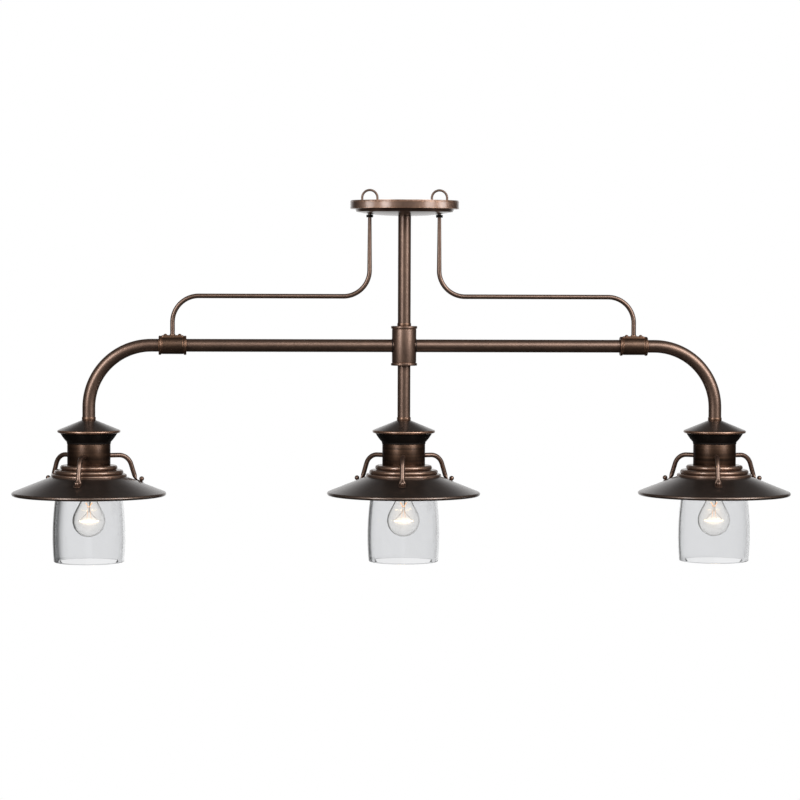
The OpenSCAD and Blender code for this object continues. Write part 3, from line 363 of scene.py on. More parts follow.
class NodeTree:
    """The nodes of a material or a world, with short calls to add and join them."""

    def __init__(self, owner: bpy.types.Material | bpy.types.World) -> None:
        """Start an empty tree in its owner."""
        owner.use_nodes = True
        self.owner, self.tree = owner, owner.node_tree
        self.tree.nodes.clear()

    def put(self, socket: Socket, value: object) -> None:
        """Set a socket to a value, or join it to another node's output."""
        if isinstance(value, Socket):
            self.tree.links.new(value, socket)
        else:
            socket.default_value = value

    def add(self, kind: str, **inputs: object) -> bpy.types.Node:
        """Add a node and set its sockets.

        Args:
            kind: The node's type.
            **inputs: Values or output sockets by the socket's name, with _ for a space.

        Returns:
            The node.
        """
        node = self.tree.nodes.new(kind)
        for name, value in inputs.items():
            self.put(node.inputs[name.replace("_", " ")], value)
        return node

    def wear_and_sheen(self) -> Socket:
        """The piece's own value of rubbed wear and painted highlight."""
        node = self.add("ShaderNodeAttribute")
        node.attribute_name = "wear_and_sheen"
        return node.outputs["Fac"]

    def noise(self, scale: float, detail: float = 3.0, stretch: Numbers = (1, 1, 1)) -> Socket:
        """Noise on Object coordinates, stretched along the axes, as a value from 0 to 1."""
        place = self.add("ShaderNodeTexCoord").outputs["Object"]
        mapped = self.add("ShaderNodeMapping", Vector=place, Scale=tuple(stretch)).outputs["Vector"]
        return self.add("ShaderNodeTexNoise", Vector=mapped, Scale=scale, Detail=detail).outputs["Fac"]

    def ramp(self, value: Socket, low: float, high: float = 1.0, to_low: float = 0.0,
             to_high: float = 1.0, smooth: bool = True) -> Socket:
        """Map a value from one range to another, smoothly or evenly."""
        node = self.add("ShaderNodeMapRange", Value=value, From_Min=low, From_Max=high, To_Min=to_low, To_Max=to_high)
        node.interpolation_type = "SMOOTHSTEP" if smooth else "LINEAR"
        return node.outputs["Result"]

    def spread(self, value: Socket, low: float, high: float) -> Socket:
        """Map a noise's middle range, from 0.3 to 0.7, to the range from low to high."""
        return self.ramp(value, 0.3, 0.7, low, high, smooth=False)

    def mix(self, share: Socket, first: object, second: object) -> Socket:
        """Mix two colours, each a linear triple or a socket, by a share."""
        node = self.add("ShaderNodeMix", Factor=share)
        node.data_type = "RGBA"
        for name, value in (("A", first), ("B", second)):
            colour = next(s for s in node.inputs if s.name == name and s.type == "RGBA")
            self.put(colour, value if isinstance(value, Socket) else (*value, 1))
        return next(s for s in node.outputs if s.type == "RGBA")

    def blend(self, share: Socket, first: object, second: object) -> Socket:
        """Mix two numbers, each a value or a socket, by a share."""
        return self.add("ShaderNodeMix", Factor=share, A=first, B=second).outputs["Result"]

    def maths(self, operation: str, first: object, second: object) -> Socket:
        """One arithmetic step on two values or sockets, kept from 0 to 1."""
        node = self.add("ShaderNodeMath")
        node.operation = operation
        node.use_clamp = True
        for socket, value in zip(node.inputs, (first, second)):
            self.put(socket, value)
        return node.outputs[0]

    def bump(self, height: Socket, depth: float, strength: float,
             normal: Socket | None = None) -> Socket:
        """A bumped normal from a height, with the depth in metres, over an earlier normal if given."""
        under = {} if normal is None else {"Normal": normal}
        return self.add("ShaderNodeBump", Height=height, Distance=depth, Strength=strength, **under).outputs["Normal"]

    def finish(self, shader: bpy.types.Node, output: str = "ShaderNodeOutputMaterial") -> bpy.types.ID:
        """Join a shader to a new output and return the tree's owner."""
        self.add(output, Surface=shader.outputs[0])
        return self.owner

    def principled(self, **inputs: object) -> bpy.types.Material:
        """Finish a material with a Principled shader that has these inputs."""
        return self.finish(self.add("ShaderNodeBsdfPrincipled", **inputs))


@dataclass(frozen=True)
class Finish:
    """A finish, made into one material the first time that it is used.

    No finish may have the name of one of the record's slots, because the frame's materials have those.
    """

    name: str

    def material(self) -> bpy.types.Material:
        """Return the finish's material."""
        made = bpy.data.materials.get(self.name)
        return made or self.build(NodeTree(bpy.data.materials.new(self.name)))

    def build(self, nodes: NodeTree) -> bpy.types.Material:
        """Fill the node tree and return its material."""
        raise NotImplementedError


@dataclass(frozen=True)
class Patina(Finish):
    """Metal under a dark hand-rubbed patina that is thinner on its edges."""

    body: Colour = srgb("846a5b")
    deep: Colour = srgb("5c4a41")
    worn: Colour = srgb("a9836b")
    tint: Colour = srgb("8c857f")
    roughness: float = 0.44
    mottle: float = 0.4
    grain: float = 0.000005
    lines: float = 0.0
    coat: float = 0.6
    coat_roughness: float = 0.3
    cloud_scale: float = 38.0
    grain_scale: float = 1400.0
    wear_scale: float = 120.0
    gloss_scale: float = 260.0

    def build(self, nodes: NodeTree) -> bpy.types.Material:
        """Mottle the colour, rub its edges bright and paint highlights where the wear value carries them, and roughen
        it with fine grain and turned lines.
        """
        clouds = nodes.spread(nodes.noise(self.cloud_scale, 5.0), 0.0, self.mottle)
        colour = nodes.mix(clouds, self.body, self.deep)
        grain = nodes.bump(nodes.noise(self.grain_scale, 2.0), self.grain, 0.5)
        if self.lines:
            rings = nodes.noise(self.lines, 4.0, (0.02, 0.02, 1))
            colour = nodes.mix(nodes.spread(rings, 0.0, 0.85), colour, self.deep)
            grain = nodes.bump(rings, 0.00012, 0.55, grain)
        patches = nodes.spread(nodes.noise(self.wear_scale, 4.0), 0.65, 1.0)
        # The worn colour goes where the wear value is high: rubbed edges, and painted highlights such as the shade's
        # stepped rings.
        colour = nodes.mix(nodes.maths("MULTIPLY", nodes.wear_and_sheen(), patches), colour, self.worn)
        rough = nodes.spread(nodes.noise(self.gloss_scale, 4.0), self.roughness - 0.05, self.roughness + 0.06)
        return nodes.principled(Base_Color=colour, Metallic=1.0, Roughness=rough, Specular_Tint=(*self.tint, 1),
                                Normal=grain, Coat_Weight=self.coat, Coat_Roughness=self.coat_roughness)


@dataclass(frozen=True)
class Plated(Finish):
    """Bright plated or turned metal, with faint brushing."""

    body: Colour = srgb("b8b6b0")
    roughness: float = 0.3

    def build(self, nodes: NodeTree) -> bpy.types.Material:
        """Vary the roughness and the colour along fine brushed lines."""
        brushed = nodes.noise(700.0, 3.0, (1, 1, 0.12))
        dull = tuple(0.75 * c for c in self.body)
        colour = nodes.mix(nodes.spread(brushed, 0.0, 0.5), self.body, dull)
        rough = nodes.spread(brushed, self.roughness - 0.06, self.roughness + 0.1)
        return nodes.principled(Base_Color=colour, Metallic=1.0, Roughness=rough,
                                Normal=nodes.bump(brushed, 0.00002, 0.4))


@dataclass(frozen=True)
class Moulded(Finish):
    """Moulded plastic or wire insulation with a fine even texture."""

    body: Colour = srgb("1c1b1a")
    roughness: float = 0.45

    def build(self, nodes: NodeTree) -> bpy.types.Material:
        """Add a faint cloudiness and a pebbled surface."""
        clouds = nodes.spread(nodes.noise(90.0, 3.0), 0.0, 0.3)
        lighter = tuple(min(1.0, c * 1.5 + 0.01) for c in self.body)
        rough = nodes.spread(nodes.noise(500.0), self.roughness - 0.06, self.roughness + 0.08)
        return nodes.principled(Base_Color=nodes.mix(clouds, self.body, lighter), Roughness=rough,
                                Normal=nodes.bump(nodes.noise(1800.0, 2.0), 0.00003, 0.3))


@dataclass(frozen=True)
class ClearGlass(Finish):
    """Clear glass with a faint tint, blown with a slight unevenness."""

    tint: Colour = (0.858, 0.862, 0.871)
    index: float = 1.45
    wave: float = 0.0002
    wave_scale: float = 14.0
    # edge: a darker colour painted in at grazing angles, partly for the longer path through the glass and partly a
    # painted shade for dark surroundings seen through the rim.
    edge: Colour | None = None
    edge_shade_from: float = 0.7
    lit: float = 0.0
    bulb_light: Colour = (1.0, 0.95, 0.88)

    def build(self, nodes: NodeTree) -> bpy.types.Material:
        """Let light through and bend it, with slow waves in the surface, and darken its edge: partly the longer path
        through the glass there, partly a painted shade for the dark surroundings seen through the rim.
        """
        waves = nodes.noise(self.wave_scale, 2.0, (1, 1, 0.5))
        colour: Socket | tuple[float, ...] = (*self.tint, 1)
        if self.edge:
            # Painted shade: the colour darkens towards grazing angles by Layer Weight's facing.
            facing = nodes.add("ShaderNodeLayerWeight", Blend=0.5).outputs["Facing"]
            colour = nodes.mix(nodes.ramp(facing, self.edge_shade_from), self.tint, self.edge)
        return nodes.principled(Base_Color=colour, Roughness=0.0, Transmission_Weight=1.0, IOR=self.index,
                                Emission_Color=(*self.bulb_light, 1), Emission_Strength=self.lit,
                                Normal=nodes.bump(waves, self.wave, 0.5))


@dataclass(frozen=True)
class Glow(Finish):
    """Something that glows, solid or as a thin veil of light."""

    light: Colour = srgb("ffd9a0")
    strength: float = 12.0
    cover: float = 1.0
    fade: float = 0.0

    def build(self, nodes: NodeTree) -> bpy.types.Material:
        """Vary the glow a little along the piece, and let a veil fade towards its rim."""
        hot = tuple(min(1.0, c * 1.2) for c in self.light)
        colour = nodes.mix(nodes.spread(nodes.noise(300.0), 0.0, 1.0), self.light, hot)
        cover: float | Socket = self.cover
        if self.fade:
            cover = nodes.ramp(nodes.wear_and_sheen(), 0.0, self.fade, 0.0, self.cover)
        return nodes.principled(Base_Color=(0, 0, 0, 1), Emission_Color=colour, Emission_Strength=self.strength,
                                Alpha=cover, Roughness=1.0, Specular_IOR_Level=0.0)


BRONZE = Patina("rubbed_bronze")
CAST_BRONZE = Patina("cast_bronze", body=srgb("6a5344"), deep=srgb("43352c"), worn=srgb("b98a6c"), coat=0.3)
CANOPY_BRONZE = Patina("canopy_bronze", coat=1.0, coat_roughness=0.2)
NECK_BRONZE = Patina("turned_bronze", body=srgb("634a3a"), deep=srgb("30241d"), lines=230.0, coat=0.2)
# Its worn colour also serves as the painted highlight on the shade's stepped rings.
SHADE_BRONZE = Patina("shade_bronze", body=srgb("685c55"), deep=srgb("4c443f"), worn=srgb("c2967a"), mottle=0.5,
                      coat=1.0, coat_roughness=0.22)
# Black metal, also used as painted shadow on the beads where the arms meet the hub.
BLACK_METAL_AND_SHADE = Patina("blackened_metal_and_painted_shade", body=srgb("2f2b29"), deep=srgb("1e1b1a"), worn=srgb("4a3d37"), roughness=0.6,
                     coat=0.15, coat_roughness=0.4)
COPPER_EDGE = Patina("rubbed_copper", body=srgb("8a6a55"), deep=srgb("5c463a"), worn=srgb("a98066"), roughness=0.4)
ZINC = Plated("zinc_plate", body=srgb("8f8e89"), roughness=0.5)
NICKEL = Plated("nickel_plate", body=srgb("c4c0b8"), roughness=0.25)
BRASS = Plated("brass_sheet", body=srgb("c79a4e"), roughness=0.26)
SOCKET_PLASTIC = Moulded("socket_phenolic")
WIRE_PLASTIC = Moulded("wire_insulation", body=srgb("222120"), roughness=0.38)
CONNECTOR_PLASTIC = Moulded("connector_plastic", body=srgb("c4642a"))
# The glasses' edge colours are painted shade at grazing angles, with some of it the longer path through the glass.
CYLINDER_GLASS = ClearGlass("cylinder_glass", tint=(0.872, 0.876, 0.884), edge=srgb("c9cbcb"), edge_shade_from=0.8)
BULB_GLASS = ClearGlass("blown_bulb", tint=(1.0, 0.995, 0.985), index=1.3, wave=0.00005, edge=srgb("7d7e79"),
                        edge_shade_from=0.5, lit=0.008)
STEM_GLASS = ClearGlass("stem_glass", tint=(0.97, 0.97, 0.96), wave=0.0)
LEAD_WIRE = Plated("lead_in_wire", body=srgb("a59a8c"), roughness=0.35)
HOT_COIL = Glow("glowing_coil", strength=40.0)
# A painted glint: the forked supports glow as if catching the coil's light.
PAINTED_GLINT_WIRE = Glow("painted_glint_wire", light=srgb("ffb67a"), strength=1.7)
GLOW_CORE = Glow("glow_core", light=srgb("ffe6d6"), strength=1.7, cover=0.8, fade=0.9)
GLOW_HALO = Glow("glow_halo", light=srgb("ffe8da"), strength=1.3, cover=0.2, fade=1.0)


# Pieces


def make_piece(name: str, surfaces: Sequence[Surface], replaces: str = "", finish: Finish = BRONZE,
               body: str = FIXTURE, sharp: float = 40.0) -> None:
    """Build one piece from surfaces, dress it and let it ride on a CAD body.

    Args:
        name: The piece's name.
        surfaces: Its surfaces, in millimetres.
        replaces: The CAD node that it stands for, if it stands for one.
        finish: What it is finished in.
        body: The CAD body that it moves with.
        sharp: Edges that turn by more than this many degrees stay sharp.
    """
    starts = np.cumsum([0] + [s.points.shape[0] * s.points.shape[1] for s in surfaces])
    points = np.concatenate([s.points.reshape(-1, 3) for s in surfaces]) * MM
    faces = np.concatenate([s.faces(int(k)) for s, k in zip(surfaces, starts)])
    mesh = bpy.data.meshes.new(name)
    mesh.from_pydata(points.tolist(), [], faces.tolist())
    mesh.attributes.new("wear_and_sheen", "FLOAT", "POINT").data.foreach_set(
        "value", np.concatenate([s.wear_and_sheen.ravel() for s in surfaces]).astype(np.float32))
    work = bmesh.new()
    work.from_mesh(mesh)
    bmesh.ops.remove_doubles(work, verts=work.verts, dist=1e-6)
    bmesh.ops.dissolve_degenerate(work, edges=work.edges, dist=1e-7)
    bmesh.ops.recalc_face_normals(work, faces=work.faces)
    work.to_mesh(mesh)
    work.free()
    mesh.shade_smooth()
    mesh.set_sharp_from_angle(angle=math.radians(sharp))
    piece = bpy.data.objects.new(name, mesh)
    show(piece)
    mesh.materials.append(finish.material())
    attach(piece, body)
    if replaces:
        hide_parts(replaces)
    LOG.info("%s: %d faces on %s", name, len(mesh.polygons), body)


def dress(node: str, finish: Finish) -> None:
    """Give a CAD node that stays in sight its finish."""
    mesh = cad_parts[node].data
    mesh.materials.clear()
    mesh.materials.append(finish.material())


# Sub-assemblies


@dataclass
class Canopy:
    """The ceiling canopy with its band, step and dome, the two wire loops and what it hides."""

    radius: float = 99.5
    band_h: float = 15.6
    step_r: float = 90.8
    step_h: float = 5.3
    dome_h: float = 7.2
    step_lean: float = 2.6
    flat_r: float = 15.0
    wall: float = 1.2
    hole_r: float = 6.65
    rod_x: float = 64.0
    loop_r: float = 14.0
    loop_wire_r: float = 2.1
    loop_crown: float = 4.9

    def dome(self, gap: float) -> np.ndarray:
        """The dome's arc from its step to its flat, drawn in by a gap."""
        half = self.step_r - self.step_lean - gap - self.flat_r
        r = (half ** 2 + self.dome_h ** 2) / (2 * self.dome_h)
        rise = math.degrees(math.asin(half / r))
        bottom = -self.band_h - self.step_h - self.dome_h + gap
        return arc((self.flat_r, bottom + r), r, -90 + rise, -90, 16)

    def shell(self) -> Surface:
        """The pressed shell: its band with a small lip, its ledge, its step and its dome."""
        band = self.radius - self.wall
        outside = [(band - 0.1, 0), (self.radius - 0.5, 0), (self.radius - 0.5, -1.5),
                   (self.radius, -2.1), (self.radius, -3.2), (self.radius, 1.2 - self.band_h),
                   (self.radius, -self.band_h), (self.step_r, -self.band_h)]
        inside = [(self.step_r - self.wall, -self.band_h + self.wall), (band - 0.1, -self.band_h + self.wall)]
        bottom = -self.band_h - self.step_h - self.dome_h
        ends = [(self.hole_r, bottom), (self.hole_r, bottom + self.wall)]
        corners = np.concatenate([outside, self.dome(0.0), ends, self.dome(self.wall)[::-1], inside])
        return turned(filleted(corners, 0.7), segments=160)

    def loops(self) -> list[Surface]:
        """The two wire loops above the tie rods, down to their feet under the bar."""
        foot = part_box("hanging_loops")[0].z / MM
        bow = arc((0, self.loop_crown), self.loop_r, 0, 180, 24)
        legs = np.concatenate([[(self.loop_r, foot)], bow, [(-self.loop_r, foot)]])
        surfaces = []
        for side in (-1, 1):
            path = np.stack([legs[:, 0] + side * self.rod_x, 0 * legs[:, 0], legs[:, 1]], axis=-1)
            surfaces.append(swept(path, self.loop_wire_r, self.loop_wire_r, 24))
        return surfaces

    def build(self) -> None:
        """Make and dress the canopy and everything in it."""
        make_piece("canopy_shell", [self.shell()], "canopy", CANOPY_BRONZE)
        make_piece("hanging_loop_wires", self.loops(), "hanging_loops")
        dress("tie_rod_nuts", BLACK_METAL_AND_SHADE)
        for node in ("mounting_strap", "support_bar", "hickey", "nipples", "lock_nuts", "loop_nuts"):
            dress(node, ZINC)
        dress("lead_wires", WIRE_PLASTIC)
        dress("wire_connectors", CONNECTOR_PLASTIC)


@dataclass
class Frame:
    """The stem, the hub, the two arms with their elbows and sleeves, and the tie rods."""

    tube_r: float = 11.8
    bore_r: float = 10.2
    bar_z: float = -266.4
    lamp_z: float = -403.4
    lamp_x: float = 577.0
    elbow_r: float = 114.0
    sleeve_x: float = 424.5
    hub_r: float = 22.4
    hub_h: float = 72.5
    lip: float = 1.6
    lip_h: float = 5.0
    groove: float = 0.5
    root_in: float = 1.6
    cavity_r: float = 18.8
    end_t: float = 6.5
    sleeve_r: float = 16.1
    sleeve_l: float = 50.6
    ring_proud: float = 1.5
    ring_w: float = 4.6
    saddle_h: float = 2.6
    saddle_w: float = 15.0
    screw_x: float = 13.0
    screw_shank_r: float = 1.7
    screw_depth: float = 3.0
    dome_r: float = 3.71
    dome_sink: float = 1.22
    rod_r: float = 4.3
    rod_x: float = 64.0
    rod_rise: float = 90.5
    rod_bend_r: float = 48.0
    rod_thread_r: float = 3.0
    rod_thread_z: float = -9.0
    collar_proud: float = 0.9
    collar_h: float = 5.5

    def hub(self) -> Surface:
        """The hub with its two lips and a fine groove beside each."""
        h, lip, r = self.hub_h / 2, self.hub_h / 2 - self.lip_h, self.hub_r
        bore = self.tube_r + PLAY
        half = [(bore, h), (r + self.lip, h), (r + self.lip, lip + 0.6), (r - self.groove, lip),
                (r - self.groove, lip - 0.9), (r, lip - 1.3)]
        mirrored = [(x, -z) for x, z in half[::-1]]
        cavity = h - self.end_t
        inside = [(bore, -cavity), (self.cavity_r, -cavity), (self.cavity_r, cavity), (bore, cavity)]
        return turned(filleted(half + mirrored + inside, 0.7), (0, 0, self.bar_z), segments=128)

    def arm_roots(self) -> list[Surface]:
        """The small flared beads where the arms enter the hub's side, finished black as a painted shadow where the
        arms meet the hub.
        """
        r, start = self.tube_r, self.hub_r - self.root_in
        bead = filleted([(r + PLAY, 0), (r + 2.2, 0), (r + 1.1, 1.6), (r + PLAY, 2.4)], 0.6)
        return [turned(bead * (1, side), (side * start, 0, self.bar_z), Axis.X, 64) for side in (-1, 1)]

    def sleeve(self, side: int) -> list[Surface]:
        """A cast sleeve: the body with rounded end rings, and the saddle on top of it."""
        half, r, ring = self.sleeve_l / 2, self.sleeve_r, self.sleeve_r + self.ring_proud
        bore = self.tube_r + PLAY
        ends = [(bore, half), (ring - 0.6, half), (ring, half - 1.2), (ring, half - self.ring_w + 1.2),
                (ring - 0.6, half - self.ring_w), (r - 0.3, half - self.ring_w - 0.4),
                (r - 0.3, half - self.ring_w - 1.4), (r, half - self.ring_w - 2.0)]
        outline = filleted(ends + [(x, -z) for x, z in ends[::-1]], 0.6)
        top, low, x = r + self.saddle_h, self.tube_r, side * self.sleeve_x
        pad = rounded_block((half - self.ring_w - 0.2, self.saddle_w / 2, (top - low) / 2),
                            (x, 0, self.bar_z + (top + low) / 2), 7.0)
        return [turned(outline, (x, 0, self.bar_z), Axis.X, 96), pad]

    @property
    def seat_z(self) -> float:
        """The top of the sleeves' saddles."""
        return self.bar_z + self.sleeve_r + self.saddle_h

    def screws(self) -> list[Surface]:
        """The sleeves' domed screw heads, each a low lens on its seat."""
        shank = [(0.0, -self.screw_depth), (self.screw_shank_r, -self.screw_depth), (self.screw_shank_r, 0.0)]
        head = np.concatenate([shank, arc((0, -self.dome_sink), self.dome_r, 19, 90, 10)])
        xs = [side * self.sleeve_x + end * self.screw_x for side in (-1, 1) for end in (-1, 1)]
        return [turned(head, (x, 0, self.seat_z), segments=32) for x in xs]

    def tie_rod(self, side: int) -> list[Surface]:
        """One tie rod along its route, with the thickened foot that stands on its sleeve."""
        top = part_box("tie_rod_left")[1].z / MM
        level = self.bar_z + self.rod_rise
        foot = self.bar_z + self.tube_r + 0.4
        path = route([(self.rod_x, top), (self.rod_x, level), (self.sleeve_x, level), (self.sleeve_x, foot)],
                     [self.rod_bend_r, self.rod_bend_r], 3.0)
        radius = np.where(path[:, 2] > self.rod_thread_z, self.rod_thread_r, self.rod_r)
        path[:, 0] *= side
        r = self.rod_r
        collar = filleted([(r - 0.5, 0), (r + 1.3, 0), (r + 0.9, 1.4), (r, 2.2), (r - 0.5, 2.2)], 0.4)
        return [swept(path, radius, radius, 40), turned(collar, (side * self.sleeve_x, 0, self.seat_z), segments=48)]

    def collars(self) -> list[Surface]:
        """The rings at the foot of the upper stem and over each lamp."""
        bore, r, h = self.tube_r + PLAY, self.tube_r + self.collar_proud, self.collar_h
        outline = filleted([(bore, 0), (r, 0), (r, h), (bore, h)], 0.8)
        places = [(0, 0, self.bar_z + self.hub_h / 2)] + [(s * self.lamp_x, 0, self.lamp_z) for s in (-1, 0, 1)]
        return [turned(outline, place) for place in places]

    def straight_tube(self, start: Numbers, end: Numbers) -> Surface:
        """A straight tube between two points, in a plane that faces the front."""
        return tube(np.linspace(start, end, 3), self.tube_r, self.bore_r)

    def build(self) -> None:
        """Make and dress the stem, hub, arms, elbows, sleeves and tie rods."""
        for node in ("stem_upper", "stem_lower"):
            low, high = (corner.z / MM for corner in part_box(node))
            make_piece(f"{node}_tube", [self.straight_tube((0, 0, low), (0, 0, high))], node)
        make_piece("hub_casting", [self.hub()], "hub")
        # Painted shadow: black beads where the arms enter the hub.
        make_piece("arm_root_beads", self.arm_roots(), finish=BLACK_METAL_AND_SHADE)
        for side, sign in (("left", -1), ("right", 1)):
            ends = [(sign * x, 0, self.bar_z) for x in (self.cavity_r, self.sleeve_x - 0.5)]
            make_piece(f"arm_{side}_tube", [self.straight_tube(*ends)], f"arm_{side}")
            bend = route([(self.sleeve_x + 0.5, self.bar_z), (self.lamp_x, self.bar_z),
                          (self.lamp_x, self.lamp_z)], [self.elbow_r], 2.5)
            bend[:, 0] *= sign
            make_piece(f"elbow_{side}_tube", [tube(bend, self.tube_r, self.bore_r)], f"elbow_{side}")
            make_piece(f"sleeve_{side}_casting", self.sleeve(sign), f"sleeve_{side}", CAST_BRONZE)
            make_piece(f"tie_rod_{side}_bar", self.tie_rod(sign), f"tie_rod_{side}")
        make_piece("sleeve_screw_heads", self.screws(), "sleeve_screws", COPPER_EDGE)
        make_piece("tube_end_rings", self.collars(), "tube_collars", COPPER_EDGE)


@dataclass
class Hung:
    """Something that hangs at one lamp, with heights counted down from the top of the lamp's cap."""

    side: Side

    def node(self, kind: str) -> str:
        """The name of one of the lamp's CAD nodes or pieces."""
        return f"{kind}_{self.side.value}"

    @property
    def place(self) -> np.ndarray:
        """The lamp's axis at the top of its cap."""
        return np.array([centre_of(self.node("neck"))[0], 0, top_of(self.node("cap"))])

    def spinning(self, corners: Sequence[Numbers], fillet: float, steps: int = 4, segments: int = 128) -> Surface:
        """Turn an outline with rounded corners about the lamp's axis."""
        return turned(filleted(corners, fillet, steps), self.place, segments=segments)


@dataclass
class Lamp(Hung):
    """One lamp's metal: its cap, flared ring, neck, shade and hooks."""

    turn: float
    cap_r: float = 57.7
    cap_h: float = 20.6
    cap_bead_r: float = 2.75
    cap_top_r: float = 12.5
    hole_r: float = 6.65
    sheet: float = 1.1
    plate: float = 1.6
    neck_r: float = 39.4
    neck_top: float = -43.5
    neck_foot: float = -82.5
    foot_w: float = 7.0
    flare_r: float = 52.5
    flare_proud: float = 0.8
    flare_lip: float = 3.5
    ring_rs: tuple[float, float, float] = (52.3, 63.1, 69.2)
    ring_hs: tuple[float, float, float] = (8.4, 8.6, 6.0)
    # The next value paints the stepped rings in the worn colour, a painted highlight for the light they catch; the
    # one after reaches it a little past the last ring.
    ring_painted_highlight: float = 0.45
    ring_highlight_reach: float = 0.3
    slope: float = 21.8
    rim_r: float = 141.0
    bead_r: float = 3.5
    hook_r: float = 4.3
    hook_z: float = -65.5
    hook_bend_x: float = 57.5
    hook_bend_r: float = 24.5
    hook_lean: float = 72.0
    foot_half_w: float = 6.9
    foot_half_t: float = 1.2
    foot_l: float = 14.9
    flat_before: float = 9.0
    flat_over: float = 12.0

    @property
    def ring_centres(self) -> list[tuple[float, float]]:
        """The centres of the three stepped rings' round edges."""
        radii = [h / 2 for h in self.ring_hs]
        z1 = self.neck_foot - radii[0]
        z2 = z1 - radii[0] - radii[1]
        z3 = z2 - radii[1] - radii[2] + 1
        return [(r - k, z) for r, k, z in zip(self.ring_rs, radii, (z1, z2, z3))]

    @property
    def cone_top(self) -> tuple[float, float]:
        """Where the cone starts under the third ring."""
        return self.ring_rs[2] + 0.4, self.ring_centres[2][1] - self.ring_hs[2] / 2 + 0.3

    def cone_z(self, r: float) -> float:
        """Height of the shade's cone, outside, at a distance from the axis."""
        return self.cone_top[1] - (r - self.cone_top[0]) * math.tan(math.radians(self.slope))

    def cap(self) -> Surface:
        """The cap: a low cone with a rolled brim."""
        bead = (self.cap_r - self.cap_bead_r, -self.cap_h)
        slope = math.degrees(math.atan2(self.cap_h - self.cap_bead_r, bead[0] - self.cap_top_r))
        inner = self.cap_top_r - self.sheet * math.tan(math.radians(slope / 2))
        corners = np.concatenate([[(self.hole_r, 0), (self.cap_top_r, 0)],
                                  arc(bead, self.cap_bead_r, 90 - slope, -180, 20),
                                  [(inner, -self.sheet), (self.hole_r, -self.sheet)]])
        return self.spinning(corners, 3.0)

    def flared_ring(self) -> Surface:
        """The dark ring that widens from the neck to the cap's brim, slightly hollow in profile."""
        foot, lip = self.neck_r + self.flare_proud, self.neck_top + self.flare_lip
        edge = -self.cap_h - self.cap_bead_r
        t = np.linspace(0, 1, 8)[1:-1, None]
        side = np.array([[foot, lip]]) * (1 - t) + np.array([[self.flare_r, edge]]) * t
        side += np.sin(math.pi * t) * np.array([[0.5, -0.5]])
        tuck = self.flare_r - 2
        inner = [(tuck, edge + 3.4), (tuck - self.sheet, edge + 3.4), (self.flare_r - 2 * self.sheet, edge),
                 (foot - self.sheet, lip - 0.3), (foot - self.sheet, self.neck_top + self.plate),
                 (self.hole_r, self.neck_top + self.plate)]
        corners = np.concatenate([[(self.hole_r, self.neck_top), (foot, self.neck_top), (foot, lip)], side,
                                  [(self.flare_r, edge)], inner])
        return self.spinning(corners, 1.0)

    def neck(self) -> Surface:
        """The neck: a plain drum under a plate, with its foot turned inwards."""
        r, top, foot = self.neck_r, self.neck_top, self.neck_foot
        corners = [(self.hole_r, top), (r, top), (r, foot), (r - self.foot_w, foot),
                   (r - self.foot_w, foot + self.sheet), (r - self.sheet, foot + self.sheet),
                   (r - self.sheet, top - self.plate), (self.hole_r, top - self.plate)]
        return self.spinning(corners, 0.4, 3)

    def shade(self) -> Surface:
        """The shade: a seat, three stepped half-round rings, a cone and a rolled rim."""
        seat = self.neck_r - self.foot_w
        rings_out, rings_in = [], []
        for k, (centre, h) in enumerate(zip(self.ring_centres, self.ring_hs)):
            last = -35 if k == 2 else -90
            rings_out.append(arc(centre, h / 2, 90, last, 14))
            rings_in.append(arc(centre, h / 2 - self.sheet, 90, last, 10))
            if k < 2:
                below = self.ring_centres[k + 1][1] + self.ring_hs[k + 1] / 2
                x = centre[0] - self.sheet
                rings_in.append(np.array([[x, centre[1] - h / 2 + self.sheet], [x, below - self.sheet]]))
        rim_x, slope = self.rim_r - self.bead_r, math.radians(self.slope)
        rim = (rim_x, self.cone_z(rim_x) - self.bead_r / math.cos(slope))
        slant, near = self.sheet / math.cos(slope), rim_x - self.bead_r * 0.8
        cone_in = [(self.cone_top[0] - self.sheet / 2, self.cone_top[1] - slant + 0.2),
                   (near, self.cone_z(near) - slant)]
        outside = [[(seat, self.neck_foot)], *rings_out, [self.cone_top],
                   arc(rim, self.bead_r, 90 - self.slope, -90, 16)]
        inside = [[(seat, self.neck_foot - self.sheet)], *rings_in, cone_in, arc(rim, self.bead_r, 150, 255, 12)]
        corners = np.concatenate([np.concatenate(outside), np.concatenate(inside)[::-1]])
        return self.spinning(corners, 0.5, 3, 192)

    def hook_path(self) -> tuple[np.ndarray, np.ndarray, float]:
        """A hook's path from inside the neck to the end of its foot.

        Returns:
            The points, their distance along the path, and the distance at which the foot starts.
        """
        lean, slope = math.radians(self.hook_lean), math.radians(self.slope)
        bend_end = np.array([self.hook_bend_x + self.hook_bend_r * math.sin(lean),
                             self.hook_z - self.hook_bend_r * (1 - math.cos(lean))])
        run = np.array([math.cos(lean), -math.sin(lean)])
        drop = bend_end[1] - self.cone_z(bend_end[0]) - self.foot_half_t / math.cos(slope)
        knee = bend_end + run * drop / (math.sin(lean) - math.tan(slope) * math.cos(lean))
        toe = knee + self.foot_l * np.array([math.cos(slope), -math.sin(slope)])
        corner = np.array([self.hook_bend_x + self.hook_bend_r * math.tan(lean / 2), self.hook_z])
        start = (self.neck_r - self.sheet, self.hook_z)
        coarse = route([start, corner, knee, toe], [self.hook_bend_r, 6.0], 6.0)
        steps = np.concatenate([[0], np.cumsum(np.linalg.norm(np.diff(coarse, axis=0), axis=1))])
        at = np.linspace(0, steps[-1], 72)
        path = np.stack([np.interp(at, steps, coarse[:, k]) for k in range(3)], axis=-1)
        return path, at, steps[-1] - self.foot_l

